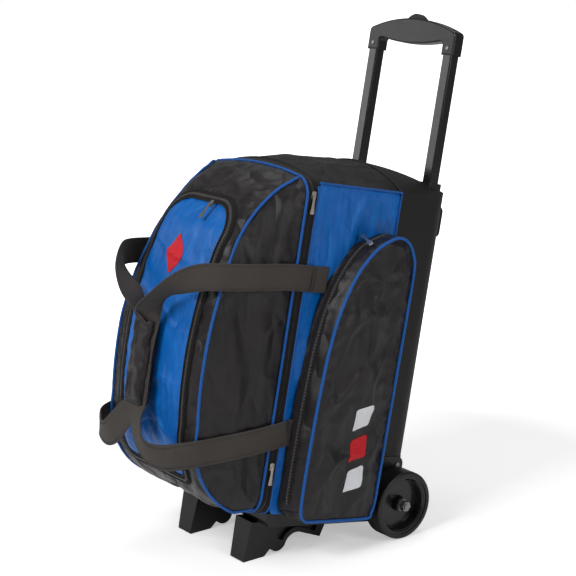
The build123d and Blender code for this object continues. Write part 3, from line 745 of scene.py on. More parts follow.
def window(x, z, grow=0.0):
    """Signed distance from the flap's outline; negative inside it."""
    mid, tall = (flap_low + flap_high) / 2, (flap_high - flap_low) / 2 + grow
    wide = flap_half + grow
    r = np.where(z > mid, 44.0, 14.0) + grow
    q, w = np.abs(x) - (wide - r), np.abs(z - mid) - (tall - r)
    return np.hypot(np.maximum(q, 0), np.maximum(w, 0)) + np.minimum(np.maximum(q, w), 0) - r


narrow_z = (84, 92, 130, 340, 410, 462, 500, 540, 575, 604)
narrow_x = (117.2, 117.2, 115, 114.5, 110.5, 104.5, 99.5, 97.5, 99.5, 107)


def edge_x(z):
    """Half width of the lid's front between its piped edges: the top draws in."""
    return np.interp(z, narrow_z, narrow_x)


def set_back(x, y, z):
    """How far the front falls back towards the piped edges, most where the lid is narrow."""
    half_x = edge_x(z)
    ends = smooth01((lid_y - y) / 30)
    return (1.5 + 0.8 * (115 - np.minimum(half_x, 115))) * ends * (np.abs(x) / half_x) ** 6


def edge_drop(x, y, z):
    """How far the lid's top or foot draws in towards its rounded corners close to the mouth."""
    near = np.clip(1 - (lid_y - y) / 46, 0, 1) ** 1.2
    ax = np.minimum(np.abs(x), 120)
    crown = lid_rise * (ax / half) ** 2
    corner = np.where(ax > half - arc_r, arc_r - np.sqrt(np.maximum(arc_r**2 - (ax - half + arc_r) ** 2, 0)), 0)
    flat_crown = 6.0 * (ax / half) ** 2 * smooth01((z - 470) / 90)
    return np.where(z > 340, -(near * crown + (1 - near) * flat_crown), near * corner)


rows_n, cols_n = len(profile), 47
py, pz = profile[:, 0][:, None], profile[:, 1][:, None]
u = np.linspace(-1, 1, cols_n)[None, :]
strip_x = u * edge_x(pz)
arc = np.concatenate([[0], np.cumsum(np.linalg.norm(np.diff(profile, axis=0), axis=1))])
t2 = tangents(profile)
nrm = np.stack([-t2[:, 1], t2[:, 0]], 1)
nrm *= np.sign(nrm[:, :1] * -1 + 1e-9) * 1.0
out_y = np.where((nrm[:, 0] * (profile[:, 0] + 50) + nrm[:, 1] * (profile[:, 1] - 340)) > 0, 1, -1)
nrm *= out_y[:, None]
seam_d = np.minimum((1 - np.abs(u)) * edge_x(pz), np.minimum(arc, arc[-1] - arc)[:, None])
hole_d = np.maximum(window(strip_x, np.broadcast_to(pz, strip_x.shape), 10.0), 0)
seam_d = np.minimum(seam_d, np.where(pz > 100, hole_d, seam_d))
lift = rumple(strip_x, np.broadcast_to(arc[:, None], strip_x.shape), seam_d, 11, 1.25, 0.8, 0.5)
base_y = py - bulge(strip_x, pz) + set_back(strip_x, py, pz)
strip_pts = np.stack(
    [
        strip_x,
        base_y + lift * nrm[:, 0][:, None],
        pz + edge_drop(strip_x, py, pz) + lift * nrm[:, 1][:, None],
    ],
    -1,
)
in_front = (pz > 90) & (py < -60)
kept = ~((window(strip_x, np.broadcast_to(pz, strip_x.shape), 3.0) < 0) & in_front)
strip = piece(
    "lid_cover",
    strip_pts.reshape(-1, 3),
    [f[::-1] for f in grid_faces(rows_n, cols_n, kept.ravel())],
    np.stack(np.broadcast_arrays(strip_x, arc[:, None]), -1).reshape(-1, 2),
    black, "lid", "black_fabric", ("lid_shell",),
)
border = [
    i * cols_n + j
    for i in range(rows_n)
    for j in range(cols_n)
    if i in (0, rows_n - 1) or j in (0, cols_n - 1) or (in_front[i, 0] and abs(float(hole_d[i, j])) < 1e-6)
]
settle(strip, border, 0.012, 4.0)
strip.data.materials.append(lining)
thick(strip, 2.4)
strip.modifiers["thickness"].material_offset = 1

# sides of the lid, between the sewn front edge and the mouth
edge_half = edge_x(pz[:, 0])
edge_path = np.stack(
    [edge_half, py[:, 0] + set_back(edge_half, py[:, 0], pz[:, 0]), pz[:, 0] + edge_drop(edge_x(pz), py, pz)[:, 0]], 1
)
right_half = lid_ring[: len(lid_ring) // 2 + 1]
start = np.argmin(np.hypot(right_half[:, 0] - edge_path[0, 0], right_half[:, 1] - edge_path[0, 2]))
stop = np.argmin(np.hypot(right_half[:, 0] - edge_path[-1, 0], right_half[:, 1] - edge_path[-1, 2]))
side_ring = right_half[min(start, stop) : max(start, stop) + 1][::-1]
fall = (edge_path[:, 2] - edge_path[-1, 2]) / (edge_path[0, 2] - edge_path[-1, 2])
fall = np.maximum.accumulate(np.clip(fall, 0, 1)[::-1])[::-1]
ring_z = side_ring[-1, 1] + fall * (side_ring[0, 1] - side_ring[-1, 1])
ring_x = np.interp(ring_z, side_ring[::-1, 1], side_ring[::-1, 0])
hinge_path = np.stack([ring_x, np.full(rows_n, lid_y), ring_z], 1)
hinge_path[:, 0] = np.maximum(hinge_path[:, 0], edge_path[:, 0])
side_cols = 27
s = np.linspace(0, 1, side_cols)[None, :, None]
gusset = edge_path[:, None] * (1 - s) + hinge_path[:, None] * s
deep = np.linalg.norm(hinge_path - edge_path, axis=1)[:, None]
seam_g = np.minimum(s[..., 0], 1 - s[..., 0]) * deep
gy, gz = gusset[..., 1], gusset[..., 2]
full = 5.0 * np.sin(math.pi * s[..., 0]) * smooth01(deep / 90)
for sign, label, seed in ((1, "right", 21), (-1, "left", 24)):
    push = full + rumple(gy, gz, seam_g, seed, 1.3, 0.8, 0.15)
    pts = gusset.copy()
    pts[..., 0] = sign * (pts[..., 0] + push)
    faces = grid_faces(rows_n, side_cols)
    if sign > 0:
        faces = [f[::-1] for f in faces]
    made = piece(
        f"lid_side_{label}", pts.reshape(-1, 3), faces, np.stack([gy, gz], -1).reshape(-1, 2),
        black, "lid", "black_fabric",
    )
    pins = [i * side_cols + j for i in range(rows_n) for j in range(side_cols) if j in (0, side_cols - 1)]
    settle(made, pins, 0.014, 4.0)
    made.data.materials.append(lining)
    thick(made, 2.4)
    made.modifiers["thickness"].material_offset = 1

# cords of the lid: front edges and the mouth
cords = []
for sign in (1, -1):
    path = edge_path * (sign, 1, 1) + (sign * 1.2, -0.6, 0.6)
    path = path[1:-1]
    cords.append(cord(path, 2.3))
cords.append(cord(ring3(mouth(lid_rise, 1.4), lid_y + 1), 2.3, True))
piece("lid_cords", *merge(cords), cord_blue, "lid", "blue_piping", ("lid_piping",))
body_line = mouth(mouth_rise - 1, 1.2, 20.0)
painted_shade_crown = body_line[:, 1] > shoulder - 6
first = int(np.argmax(painted_shade_crown & ~np.roll(painted_shade_crown, 1)))
body_line, painted_shade_crown = np.roll(body_line, -first, 0), np.roll(painted_shade_crown, -first)
run = int(painted_shade_crown.sum())
# The crown run of the blue body piping gets the black cord finish: painted shade, for the top of the piping that falls
# in shade.
piece("crown_cord", *cord(ring3(body_line[: run + 1], front_y - 1), 1.6), cord_black, "bag", "blue_piping")
cords = [cord(ring3(np.vstack([body_line[run:], body_line[:1]]), front_y - 1), 2.1)]
for sign in (1, -1):
    path = resample([(sign * (half + 0.6), front_y, shoulder), (sign * (half + 0.6), seam_y, shoulder)], 4)
    cords.append(cord(path, 1.9))
    path = resample([(sign * (half + 0.4), seam_y - 0.8, low_z + 90), (sign * (half + 0.4), seam_y - 0.8, shoulder)], 4)
    cords.append(cord(path, 1.5))
piece("body_cords", *merge(cords), cord_blue, "bag", "blue_piping", ("body_piping",))
top_x = np.linspace(-half, half, 60)
top_line = np.stack([top_x, np.full(60, seam_y - 0.5), shoulder + body_rise * (1 - (top_x / half) ** 2) + 0.5], 1)
piece("rear_seam_cord", *cord(top_line, 1.6), cord_black, "bag", "black_fabric")

# ------------------------------------------------------------------ main zip


def band(flat_a, y_a, flat_b, y_b, rise=0.6, cols=5):
    """A tape ruled between two matching rings, slightly domed."""
    a, b = ring3(flat_a, y_a), ring3(flat_b, y_b)
    w = np.linspace(0, 1, cols)[None, :, None]
    pts = a[:, None] * (1 - w) + b[:, None] * w + outward(flat_a)[:, None] * rise * np.sin(math.pi * w)
    n = len(a)
    faces = [
        (i * cols + j, ((i + 1) % n) * cols + j, ((i + 1) % n) * cols + j + 1, i * cols + j + 1)
        for i in range(n)
        for j in range(cols - 1)
    ]
    along = np.concatenate([[0], np.cumsum(np.linalg.norm(np.diff(a, axis=0), axis=1))])
    wide = np.linalg.norm(b - a, axis=1)[:, None] * np.linspace(0, 1, cols)[None]
    uv = np.stack(np.broadcast_arrays(along[:, None], wide), -1)
    return pts.reshape(-1, 3), faces, uv.reshape(-1, 2)


mid_ring = (mouth(lid_rise) + mouth(mouth_rise - 1, 0, 20.0)) / 2
mid_y = (lid_y + front_y) / 2
lid_tape = piece("lid_zip_band", *band(lid_ring, lid_y, mid_ring, mid_y - 0.4), tape, "lid", "zip_tape", ("lid_zip_tape",))
body_tape = piece("body_zip_band", *band(mid_ring, mid_y + 0.4, body_ring, front_y), tape, "bag", "zip_tape", ("body_zip_tape",))
for made in (lid_tape, body_tape):
    thick(made, 1.4, levels=0)


def ring_beads(flat, y, seed_side):
    p = ring3(flat, y)
    out = outward(flat)
    across = np.tile((0, seed_side, 0), (len(p), 1)).astype(float)
    closed = np.vstack([p, p[:1]]), np.vstack([across, across[:1]]), np.vstack([out, out[:1]])
    return beads(*closed, 2.6, (1.5, 0.95, 1.3))


raised = mid_ring + 0.9 * outward(mid_ring)[:, ::2]
piece("lid_zip_coil", *ring_beads(raised, mid_y - 1.1, 1), coil, "lid", "zip_tape")
piece("body_zip_coil", *ring_beads(raised, mid_y + 1.1, -1), coil, "bag", "zip_tape")
sewn = []
for flat, y in ((mouth(lid_rise, 0.7), lid_y + 5), (mouth(mouth_rise - 1, 0.7, 20.0), front_y - 5)):
    sewn.append(stitches(np.vstack([ring3(flat, y), ring3(flat, y)[:1]]), np.vstack([outward(flat), outward(flat)[:1]])))
piece("lid_band_stitches", *sewn[0], thread, "lid", "zip_tape")
piece("body_band_stitches", *sewn[1], thread, "bag", "zip_tape")

# ------------------------------------------------------------------ shoe flap and its zip

flap_outline = rounded(-flap_half + 1.5, flap_half - 1.5, flap_low + 1.5, flap_high - 1.5, 13, 43)
patch(
    "shoe_flap_cover", flap_outline,
    lambda p: (0.0, min(max(p[1], flap_low + 76), flap_high - 76)),
    lambda a, b, h: lid_face(a, b, h + 0.4),
    blue, "shoe_flap", "blue_fabric", ("shoe_flap",), seed=31, soft=1.0, pucker=0.8, puff=2.5, mm=2.4, tilt=0.9,
    relax=0.012, inner=lining,
)
ring_a = resample(rounded(-flap_half, flap_half, flap_low, flap_high, 14, 44), 4, True)
t_ring = tangents(ring_a, True)
out_ring = np.stack([t_ring[:, 1], -t_ring[:, 0]], 1)
cols = np.linspace(-2.0, 11.5, 7)
tape_pts, tape_uv = [], []
along = np.arange(len(ring_a)) * 4.0
for c in cols:
    at = ring_a + out_ring * c
    tape_pts.append(lid_face(at[:, 0], at[:, 1], 1.0 + 0.5 * math.sin(math.pi * (c + 2.0) / 13.5)))
    tape_uv.append(np.stack([along, np.full(len(at), c)], 1))
tape_pts, tape_uv = np.stack(tape_pts, 1), np.stack(tape_uv, 1)
m = len(cols)
ring_faces = [
    (i * m + j, i * m + j + 1, ((i + 1) % len(ring_a)) * m + j + 1, ((i + 1) % len(ring_a)) * m + j)
    for i in range(len(ring_a))
    for j in range(m - 1)
]
made = piece("shoe_zip_band", tape_pts.reshape(-1, 3), ring_faces, tape_uv.reshape(-1, 2), tape, "lid", "zip_tape", ("shoe_zip_tape",))
thick(made, 1.2, levels=0)
loop_at = np.vstack([ring_a, ring_a[:1]])
loop_out = np.vstack([out_ring, out_ring[:1]])


def face_line(offset, height):
    at = loop_at + loop_out * offset
    p = lid_face(at[:, 0], at[:, 1], height)
    q = lid_face(at[:, 0] + loop_out[:, 0], at[:, 1] + loop_out[:, 1], height)
    n = lid_face(at[:, 0], at[:, 1], height + 1.0) - p
    return p, unit(q - p), unit(n)


p, acr, nor = face_line(3.6, 2.0)
piece("shoe_zip_coil", *beads(p, acr, nor, 2.4, (2.0, 0.8, 1.3)), coil, "lid", "zip_tape")
parts = [stitches(*[face_line(o, 1.9)[k] for k in (0, 2)]) for o in (8.2, 10.4)]
piece("shoe_zip_stitches", *merge(parts), thread, "lid", "zip_tape")
p, acr, nor = face_line(-2.6, 1.6)
piece("flap_edge_cord", *cord(p[:-1], 1.1, True, 6), cord_black, "shoe_flap", "blue_fabric")

# plain sewn diamond on the flap
mark_z = flap_low + 0.79 * (flap_high - flap_low)
diamond = np.array([(-4.0, mark_z - 31), (22, mark_z - 1), (-4.0, mark_z + 31), (-30, mark_z - 1)])
diamond = curve(resample(diamond, 9, True), 2.0, True)
patch(
    "flap_mark", diamond, lambda p: (-4.0, mark_z), lambda a, b, h: lid_face(a, b, 3.6 + 0.3 * h),
    red, "shoe_flap", "blue_fabric", step=3.0, seed=35, soft=0.1, pucker=0.1, puff=1.2, mm=1.0,
    over=("shoe_flap_cover", (0, 1, 0)),
)

# ------------------------------------------------------------------ body panels

side_outline = rounded(front_y + 1, seam_y - 1, low_z, shoulder - 1, 6, 5)
side_mid = (front_y + seam_y) / 2
for sign, label, seed in ((1, "right", 41), (-1, "left", 44)):
    patch(
        f"side_cloth_{label}", side_outline,
        lambda p: (side_mid, min(max(p[1], low_z + 80), shoulder - 80)),
        lambda a, b, h, sign=sign: np.stack([sign * (half - 0.6 + 0.7 * h), a, b], -1),
        blue, "bag", "blue_fabric", (f"side_panel_{label}",), seed=seed, soft=0.75, pucker=1.3, puff=2.6,
        relax=0.008, flip=sign < 0, inner=lining,
    )

top_rows = np.arange(front_y, seam_y + 2.5, 5.0)
top_cols = np.linspace(-half, half, 53)
tx, ty = np.meshgrid(top_cols, top_rows)
front_edge = np.interp(top_cols, *zip(*sorted(((p[0], p[1]) for p in body_ring if p[1] > shoulder - 25), key=lambda q: q[0])))
rise_at = mouth_rise + (body_rise - mouth_rise) * np.clip((ty - front_y) / (seam_y - front_y), 0, 1) ** 0.7
full_top = shoulder + rise_at * (1 - (tx / half) ** 2)
ease = smooth01((ty - front_y) / 40)
seam_t = np.minimum(np.minimum(ty - front_y, seam_y - ty), half - np.abs(tx))
tz = full_top * ease + front_edge[None] * (1 - ease) + rumple(tx, ty, seam_t, 51, 0.7, 0.6)
top_cloth = piece(
    "top_cloth", np.stack([tx, ty, tz], -1).reshape(-1, 3), grid_faces(len(top_rows), len(top_cols)),
    np.stack([tx, ty], -1).reshape(-1, 2), black_matt, "bag", "black_fabric", ("top_panel",),
)
rim = [i * len(top_cols) + j for i in range(len(top_rows)) for j in range(len(top_cols))
       if i in (0, len(top_rows) - 1) or j in (0, len(top_cols) - 1)]
settle(top_cloth, rim, 0.008, 3.0)
top_cloth.data.materials.append(lining)
thick(top_cloth, 2.4)
top_cloth.modifiers["thickness"].material_offset = 1

foot_outline = rounded(-half + 6, half - 6, front_y + 1, seam_y - 1, 5, 5)
patch(
    "foot_cloth", foot_outline, lambda p: (min(max(p[0], -half + 80), half - 80), (front_y + seam_y) / 2),
    lambda a, b, h: np.stack([a, b, low_z + 1.2 - 0.3 * h], -1), black_matt, "bag", "black_fabric",
    ("bottom_panel",), seed=53, soft=0.3, pucker=0.3, flip=True, inner=lining,
)

# ------------------------------------------------------------------ side pockets


def teardrop(front):
    """Side pocket outline in y, z, counter-clockwise seen from the right."""
    pts = [(148, 84.5), (front + 26, 84.5), (front + 9, 88), (front + 1.5, 102), (front, 150), (front + 1, 215),
           (front + 4, 290), (front + 9, 352), (front + 20, 410), (front + 40, 462), (front + 68, 500), (112, 519),
           (131, 524), (149, 517), (161, 500), (167, 476), (166.8, 380), (165, 260), (163.6, 150), (162.4, 108),
           (158, 91)]
    return curve(pts[::-1], 4.0, True)


base_line, rim_line = teardrop(4), teardrop(15)
count = 360
base_line = resample(base_line, 1e-3 + np.sum(np.linalg.norm(np.diff(np.vstack([base_line, base_line[:1]]), axis=0), axis=1)) / count, True)
rim_line = resample(rim_line, 1e-3 + np.sum(np.linalg.norm(np.diff(np.vstack([rim_line, rim_line[:1]]), axis=0), axis=1)) / count, True)
both = min(len(base_line), len(rim_line))
base_line, rim_line = base_line[:both], rim_line[:both]
rim_t = tangents(rim_line, True)
rim_out = np.stack([-rim_t[:, 1], rim_t[:, 0]], 1)
centre = rim_line.mean(0)
if ((rim_line - centre) * rim_out).sum() < 0:
    rim_out = -rim_out
rim_x, split_x = pocket_out - 3.0, half + 7.0
is_back = rim_line[:, 0] > 147.0
is_foot = (rim_line[:, 1] < 98.0)
moves = ~(is_back | is_foot)
first = int(np.argmax(moves & ~np.roll(moves, 1)))
base_line, rim_line, rim_out, moves = (np.roll(v, -first, 0) for v in (base_line, rim_line, rim_out, moves))
run = int(moves.sum())


def wall(sign, share, k, puff=0.0):
    """Points of the pocket's side wall at a share of its depth, for outline points k."""
    flat = base_line[k] * (1 - share) + rim_line[k] * share + rim_out[k] * puff
    x = half + share * (rim_x - half)
    return np.stack([np.full(len(flat), sign * x), flat[:, 0], flat[:, 1]], 1)


def wall_sheet(sign, lo, hi, k, steps, seed, puff):
    shares = np.linspace(lo, hi, steps)
    layers = []
    for sh in shares:
        a = np.arange(len(k)) * 4.0
        h = puff * math.sin(math.pi * sh) + 0.9 * wander(a, np.full(len(k), sh * 40), seed, 16.0) * math.sin(math.pi * (sh - lo) / (hi - lo))
        layers.append(wall(sign, sh, k, 0) + np.concatenate([np.zeros((len(k), 1)), rim_out[k] * np.reshape(h, (-1, 1))], 1))
    pts = np.stack(layers, 1)
    uv = np.stack(np.broadcast_arrays((np.arange(len(k)) * 3.6)[:, None], (shares * 44)[None]), -1)
    faces = grid_faces(len(k), steps)
    if sign < 0:
        faces = [f[::-1] for f in faces]
    return pts.reshape(-1, 3), faces, uv.reshape(-1, 2)


split = (split_x - half) / (rim_x - half)
front_k = np.arange(0, run)
rest_k = np.concatenate([np.arange(run - 1, both), [0]])
for sign, label, seed in ((1, "right", 61), (-1, "left", 67)):
    cover, keep_body = f"pocket_cover_{label}", "bag"
    mid = rim_line.mean(0)
    patch(
        f"pocket_face_{label}", rim_line[::-1],
        lambda p: (0.5 * (100 + 0.03 * (p[1] - 90)) + 40 + 0.06 * (p[1] - 90) * 0.5, min(max(p[1], 84 + 72), 524 - 70)),
        lambda a, b, h, sign=sign: np.stack([sign * (rim_x + 0.8 * h), a, b], -1),
        black, cover, "black_fabric", (f"pocket_{label}_cover",), seed=seed, soft=1.35, pucker=1.1, puff=4.5,
        tilt=-0.25, relax=0.014, flip=sign > 0, inner=lining,
    )
    made = piece(f"pocket_wall_{label}", *wall_sheet(sign, split, 1.0, front_k, 9, seed, 2.0), black, cover, "black_fabric")
    thick(made, 1.8)
    made = piece(f"pocket_base_{label}", *wall_sheet(sign, 0.0, split, front_k, 4, seed + 1, 0.6), black, keep_body,
                 "black_fabric", (f"pocket_{label}_gusset",))
    thick(made, 1.8)
    made = piece(f"pocket_back_{label}", *wall_sheet(sign, 0.0, 0.985, rest_k, 10, seed + 2, 1.2), black, keep_body, "black_fabric")
    thick(made, 1.8)
    rim3 = np.stack([np.full(both, sign * (rim_x + 0.8)), *(rim_line + 0.8 * rim_out).T], 1)
    piece(f"pocket_cord_{label}", *cord(rim3, 2.5, True), cord_blue, cover, "blue_piping")
    out3 = np.concatenate([np.zeros((both, 1)), rim_out], 1)
    foot_cord = np.stack([np.full(len(front_k), sign * (half + 1.6)), *(base_line[front_k] + 0.9 * rim_out[front_k]).T], 1)
    piece(f"pocket_seam_{label}", *cord(foot_cord, 1.3), cord_black, keep_body, "black_fabric")
    # zip along the front and over the top of the pocket
    lanes = []
    zip_k = front_k[6:-4]
    for share, rise in ((0.24, 1.6), (0.33, 2.6), (0.42, 2.9), (0.51, 2.6), (0.60, 1.6)):
        lanes.append(wall(sign, share, zip_k, rise + 0.8))
    pts = np.stack(lanes, 1)
    faces = grid_faces(len(zip_k), 5)
    if sign < 0:
        faces = [f[::-1] for f in faces]
    uv = np.stack(np.broadcast_arrays((np.arange(len(zip_k)) * 3.6)[:, None], (np.arange(5) * 4.0)[None]), -1)
    made = piece(f"pocket_zip_band_{label}", pts.reshape(-1, 3), faces, uv.reshape(-1, 2), tape, cover, "zip_tape")
    thick(made, 1.0, levels=0)
    line = wall(sign, 0.42, zip_k, 4.3)
    piece(
        f"pocket_zip_coil_{label}",
        *beads(line, np.tile((1.0, 0, 0), (len(zip_k), 1)), out3[zip_k], 2.6, (2.7, 1.0, 1.2)),
        coil, cover, "zip_tape",
    )
    sewn = [stitches(wall(sign, sh, zip_k, 3.3), out3[zip_k]) for sh in (0.265, 0.575)]
    sewn.append(stitches(wall(sign, 0.88, zip_k, 1.6), out3[zip_k]))
    piece(f"pocket_zip_stitches_{label}", *merge(sewn), thread, cover, "zip_tape")

# plain slanted bars sewn low on the right pocket, where a printed panel sits
for k, (finish, at) in enumerate(((white, 128.0), (red, 176.0), (white, 224.0))):
    bar = np.array([(92, at), (124, at + 10), (126, at + 44), (94, at + 34)], float)
    patch(
        f"pocket_bar_{k}", curve(resample(bar, 8, True), 2.0, True), lambda p, at=at: (109.0, at + 22),
        lambda a, b, h: np.stack([rim_x + 5.0 + 0.2 * h, a, b], -1), finish, "pocket_cover_right",
        "black_fabric", step=3.0, seed=80 + k, soft=0.1, pucker=0.1, puff=0.8, mm=0.8,
        over=("pocket_face_right", (-1, 0, 0)),
    )

# ------------------------------------------------------------------ carry loops

web_x = loop_hi[0] - 1
hand_y = (wrap_lo[1] + wrap_hi[1]) / 2
wrap_low, wrap_high = wrap_lo[2], wrap_hi[2]
strap_shape = np.array([(-20, -0.5), (-19.2, -1), (-10, -1.05), (0, -1.1), (10, -1.05), (19.2, -1), (20, -0.5),
                        (20, 0.5), (19.2, 1), (10, 0.95), (0, 0.9), (-10, 0.95), (-19.2, 1), (-20, 0.5)], float)
upper_path = [(web_x + 1.5, -3, 448), (web_x + 3, -30, 449), (web_x + 3, -62, 448), (web_x + 1, -100, 445),
              (web_x - 4, -136, 442), (119, -162, 440), (107, -181, 437), (88, -194, 428), (67, -203, 415), (45, -207, 401),
              (26, -208, 386), (12, -204, 369), (6, hand_y - 5, 348), (5, hand_y - 2, 318), (5, hand_y - 2, 292)]
upper_across = [(0, 0, 1), (0, 0, 1), (0, 0, 1), (0, 0, 1), (0, 0, 1), (0, 0, 1), (-0.05, -0.2, 1), (-0.12, -0.6, 0.78),
                (-0.1, -0.9, 0.42), (-0.05, -1, 0.02), (-0.2, -0.96, -0.16), (-0.6, -0.78, -0.1), (-0.95, -0.3, 0),
                (-1, 0, 0), (-1, 0, 0)]
lower_path = [(web_x + 1.5, -3, 213), (web_x + 3, -30, 207), (web_x + 3, -62, 200), (web_x + 1, -98, 193), (web_x - 3, -132, 186),
              (120, -160, 180), (107, -180, 173), (86, -191, 166), (64, -198, 165), (45, -202, 172), (29, -203, 187),
              (15, -200, 208), (7, hand_y - 3, 232), (6, hand_y - 2, 292)]
lower_across = [(0, 0.12, 1), (0, 0.16, 1), (0, 0.18, 1), (0, 0.18, 1), (0.02, 0.15, 1), (0.05, 0.1, 1), (0.12, 0, 1),
                (0.3, -0.1, 0.95), (0.55, -0.2, 0.8), (0.75, -0.3, 0.55), (0.9, -0.3, 0.3), (1, -0.2, 0.1), (1, 0, 0), (1, 0, 0)]


def strap(points, across, sign):
    both_lines = curve(np.hstack([points, across]), 5.0)
    path, side = both_lines[:, :3] * (sign, 1, 1), both_lines[:, 3:] * (sign, 1, 1)
    along = np.arange(len(path)) * 5.0
    path = path + np.stack([0.7 * wander(along, 0 * along, 91 + sign, 40.0), 0.7 * wander(along, 0 * along, 95, 50.0), 0 * along], 1) * smooth01(along / 40)[:, None]
    made = sweep(path, side, strap_shape)
    sewn = []
    t = tangents(path)
    out = np.cross(unit(side - (side * t).sum(1, keepdims=True) * t), t)
    for edge in (-17.0, 17.0):
        for face in (1.15, -1.2):
            sewn.append(stitches(path + unit(side) * edge + out * face, out * (1 if face > 0 else -1), 2.8, 1.8, 0.34, 0.2))
    return made, sewn


for sign, label in ((1, "right"), (-1, "left")):
    body = f"carry_loop_{label}"
    parts, sewn = [], []
    for pts, acr in ((upper_path, upper_across), (lower_path, lower_across)):
        made, thread_lines = strap(np.array(pts, float), np.array(acr, float), sign)
        parts.append(made)
        sewn += thread_lines
    loop = piece(f"webbing_{label}", *merge(parts), web, body, "webbing", (body,))
    seams = piece(f"webbing_stitches_{label}", *merge(sewn), thread, body, "webbing")
    for made in (loop, seams):
        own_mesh(made)

# sewn ends of the webbing, under the pockets' front edges
ends, end_seams = [], []
for sign in (1, -1):
    for z in (448.0, 213.0):
        reach = 30 if z > 400 else 12
        line = np.array([(sign * (half + 3.4), y, z) for y in np.linspace(-3.5, reach, 8)])
        tilt = np.tile((0, 0.0 if z > 400 else 0.12, 1.0), (8, 1))
        ends.append(sweep(line, tilt, strap_shape))
        for y0 in (-1.5, 4.0):
            a = np.array([(sign * (half + 4.8), y0, z + t) for t in np.linspace(-17.5, 17.5, 20)])
            end_seams.append(stitches(a, np.tile((sign, 0, 0.0), (20, 1)), 2.6, 1.2, 0.45))
piece("webbing_ends", *merge(ends), web, "bag", "webbing", ("strap_anchors",))
piece("webbing_end_stitches", *merge(end_seams), thread, "bag", "webbing")

# padded wrap that gathers the loops
ring_n, wrap_rows = 44, 32
angle = np.linspace(0, 2 * math.pi, ring_n, endpoint=False)
wrap_pts, wrap_uv = [], []
for i, v in enumerate(np.linspace(0, 1, wrap_rows)):
    z = wrap_low + v * (wrap_high - wrap_low)
    edge = min(v, 1 - v)
    fat = 0.82 + 0.18 * smooth01(edge / 0.08)
    cx = np.sign(np.cos(angle)) * np.abs(np.cos(angle)) ** 0.55 * 23.0 * (0.97 + 0.03 * fat)
    cy = np.sign(np.sin(angle)) * np.abs(np.sin(angle)) ** 0.75 * 12.5 * fat
    groove = 1.6 * np.exp(-(((cx + 9) / 1.8) ** 2)) * (cy < 0)
    creases = 0.9 * wander(cx + 3 * np.sin(v * 9), np.full(ring_n, v * 127.0), 97, 15.0) * smooth01(edge / 0.06)
    normal = unit(np.stack([cx / 23**2, cy / 12.5**2], 1))
    lifted = np.stack([cx, cy], 1) + normal * (creases - groove)[:, None]
    wrap_pts.append(np.stack([lifted[:, 0] - 2, hand_y - 1 + lifted[:, 1], np.full(ring_n, z)], 1))
    wrap_uv.append(np.stack([angle * 20, np.full(ring_n, z)], 1))
wrap_pts, wrap_uv = np.concatenate(wrap_pts), np.concatenate(wrap_uv)
faces = [
    (i * ring_n + j, i * ring_n + (j + 1) % ring_n, (i + 1) * ring_n + (j + 1) % ring_n, (i + 1) * ring_n + j)
    for i in range(wrap_rows - 1)
    for j in range(ring_n)
]
sleeve = piece("wrap_sleeve", wrap_pts, faces, wrap_uv, black, "carry_loop_right", "black_fabric", ("carry_wrap",))
settle(sleeve, list(range(ring_n)) + list(range((wrap_rows - 1) * ring_n, wrap_rows * ring_n)), 0.02, 2.5)
thick(sleeve, 2.6)
hems = []
for z in (wrap_low + 4, wrap_high - 4):
    k = int(round((z - wrap_low) / (wrap_high - wrap_low) * (wrap_rows - 1)))
    loop_pts = wrap_pts[k * ring_n : (k + 1) * ring_n]
    around = np.vstack([loop_pts, loop_pts[:1]])
    out = unit(around - around.mean(0)) * (1, 1, 0)
    hems.append(stitches(around + out * 0.4, out, 2.6, 1.6, 0.4))
for x in (-14.0, -6.0, 17.0):
    z = np.linspace(wrap_low + 4, wrap_high - 4, 50)
    line = np.stack([np.full(50, x), np.full(50, hand_y - 1 - 12.4 * (1 - (abs(x + 2) / 23) ** 4) ** 0.5 - 0.3), z], 1)
    hems.append(stitches(line, np.tile((0, -1.0, 0), (50, 1)), 2.6, 1.6, 0.4))
hem = piece("wrap_stitches", *merge(hems), thread, "carry_loop_right", "black_fabric")
for made in (sleeve, hem):
    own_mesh(made)

# ------------------------------------------------------------------ linings and foam


def softened(node, name, finish, body, voxel=4.0, seed=1, dent=0.8):
    """A soft twin of a CAD solid: remeshed, relaxed and slightly dented."""
    made = nodes[node].copy()
    made.data = nodes[node].data.copy()
    made.name = made.data.name = name
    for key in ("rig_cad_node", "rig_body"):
        if key in made:
            del made[key]
    made.parent = None
    bpy.context.scene.collection.objects.link(made)
    made.data.materials.clear()
    made.data.materials.append(finish)
    remesh = made.modifiers.new("cells", "REMESH")
    remesh.mode = "VOXEL"
    remesh.voxel_size = voxel / 1000
    relax = made.modifiers.new("relax", "SMOOTH")
    relax.iterations = 4
    done = bpy.data.meshes.new_from_object(made.evaluated_get(bpy.context.evaluated_depsgraph_get()))
    made.modifiers.clear()
    made.data = done
    count = len(done.vertices)
    co, no = np.zeros(count * 3), np.zeros(count * 3)
    done.vertices.foreach_get("co", co)
    done.vertices.foreach_get("normal", no)
    co, no = co.reshape(-1, 3), no.reshape(-1, 3)
    b = bag(co)
    bump = wander(b[:, 0] + b[:, 2] * 0.6, b[:, 1] - b[:, 2] * 0.4, seed, 26.0) * dent / 1000
    done.vertices.foreach_set("co", (co + no * (bump[:, None] - 0.0006)).ravel())
    done.polygons.foreach_set("use_smooth", [True] * len(done.polygons))
    done.update()
    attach(made, body)
    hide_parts(node)
    return made


softened("lower_ball_cup", "lower_cup_foam", foam, "bag", 5.0, 101)
softened("upper_ball_cup", "upper_cup_foam", foam, "bag", 5.0, 103)
softened("ball_divider", "divider_pad", foam, "bag", 5.0, 105)
back_outline = mouth(lid_rise, -6.5)
patch(
    "shoe_back_cloth", back_outline, lambda p: (0.0, min(max(p[1], low_z + 110), lid_top - 120)),
    lambda a, b, h: np.stack([a, lid_y - 2.2 - 0.3 * h, b], -1), lining, "lid", "black_fabric",
    ("shoe_compartment_back",), seed=107, soft=0.8, pucker=0.8, mm=2.6,
)

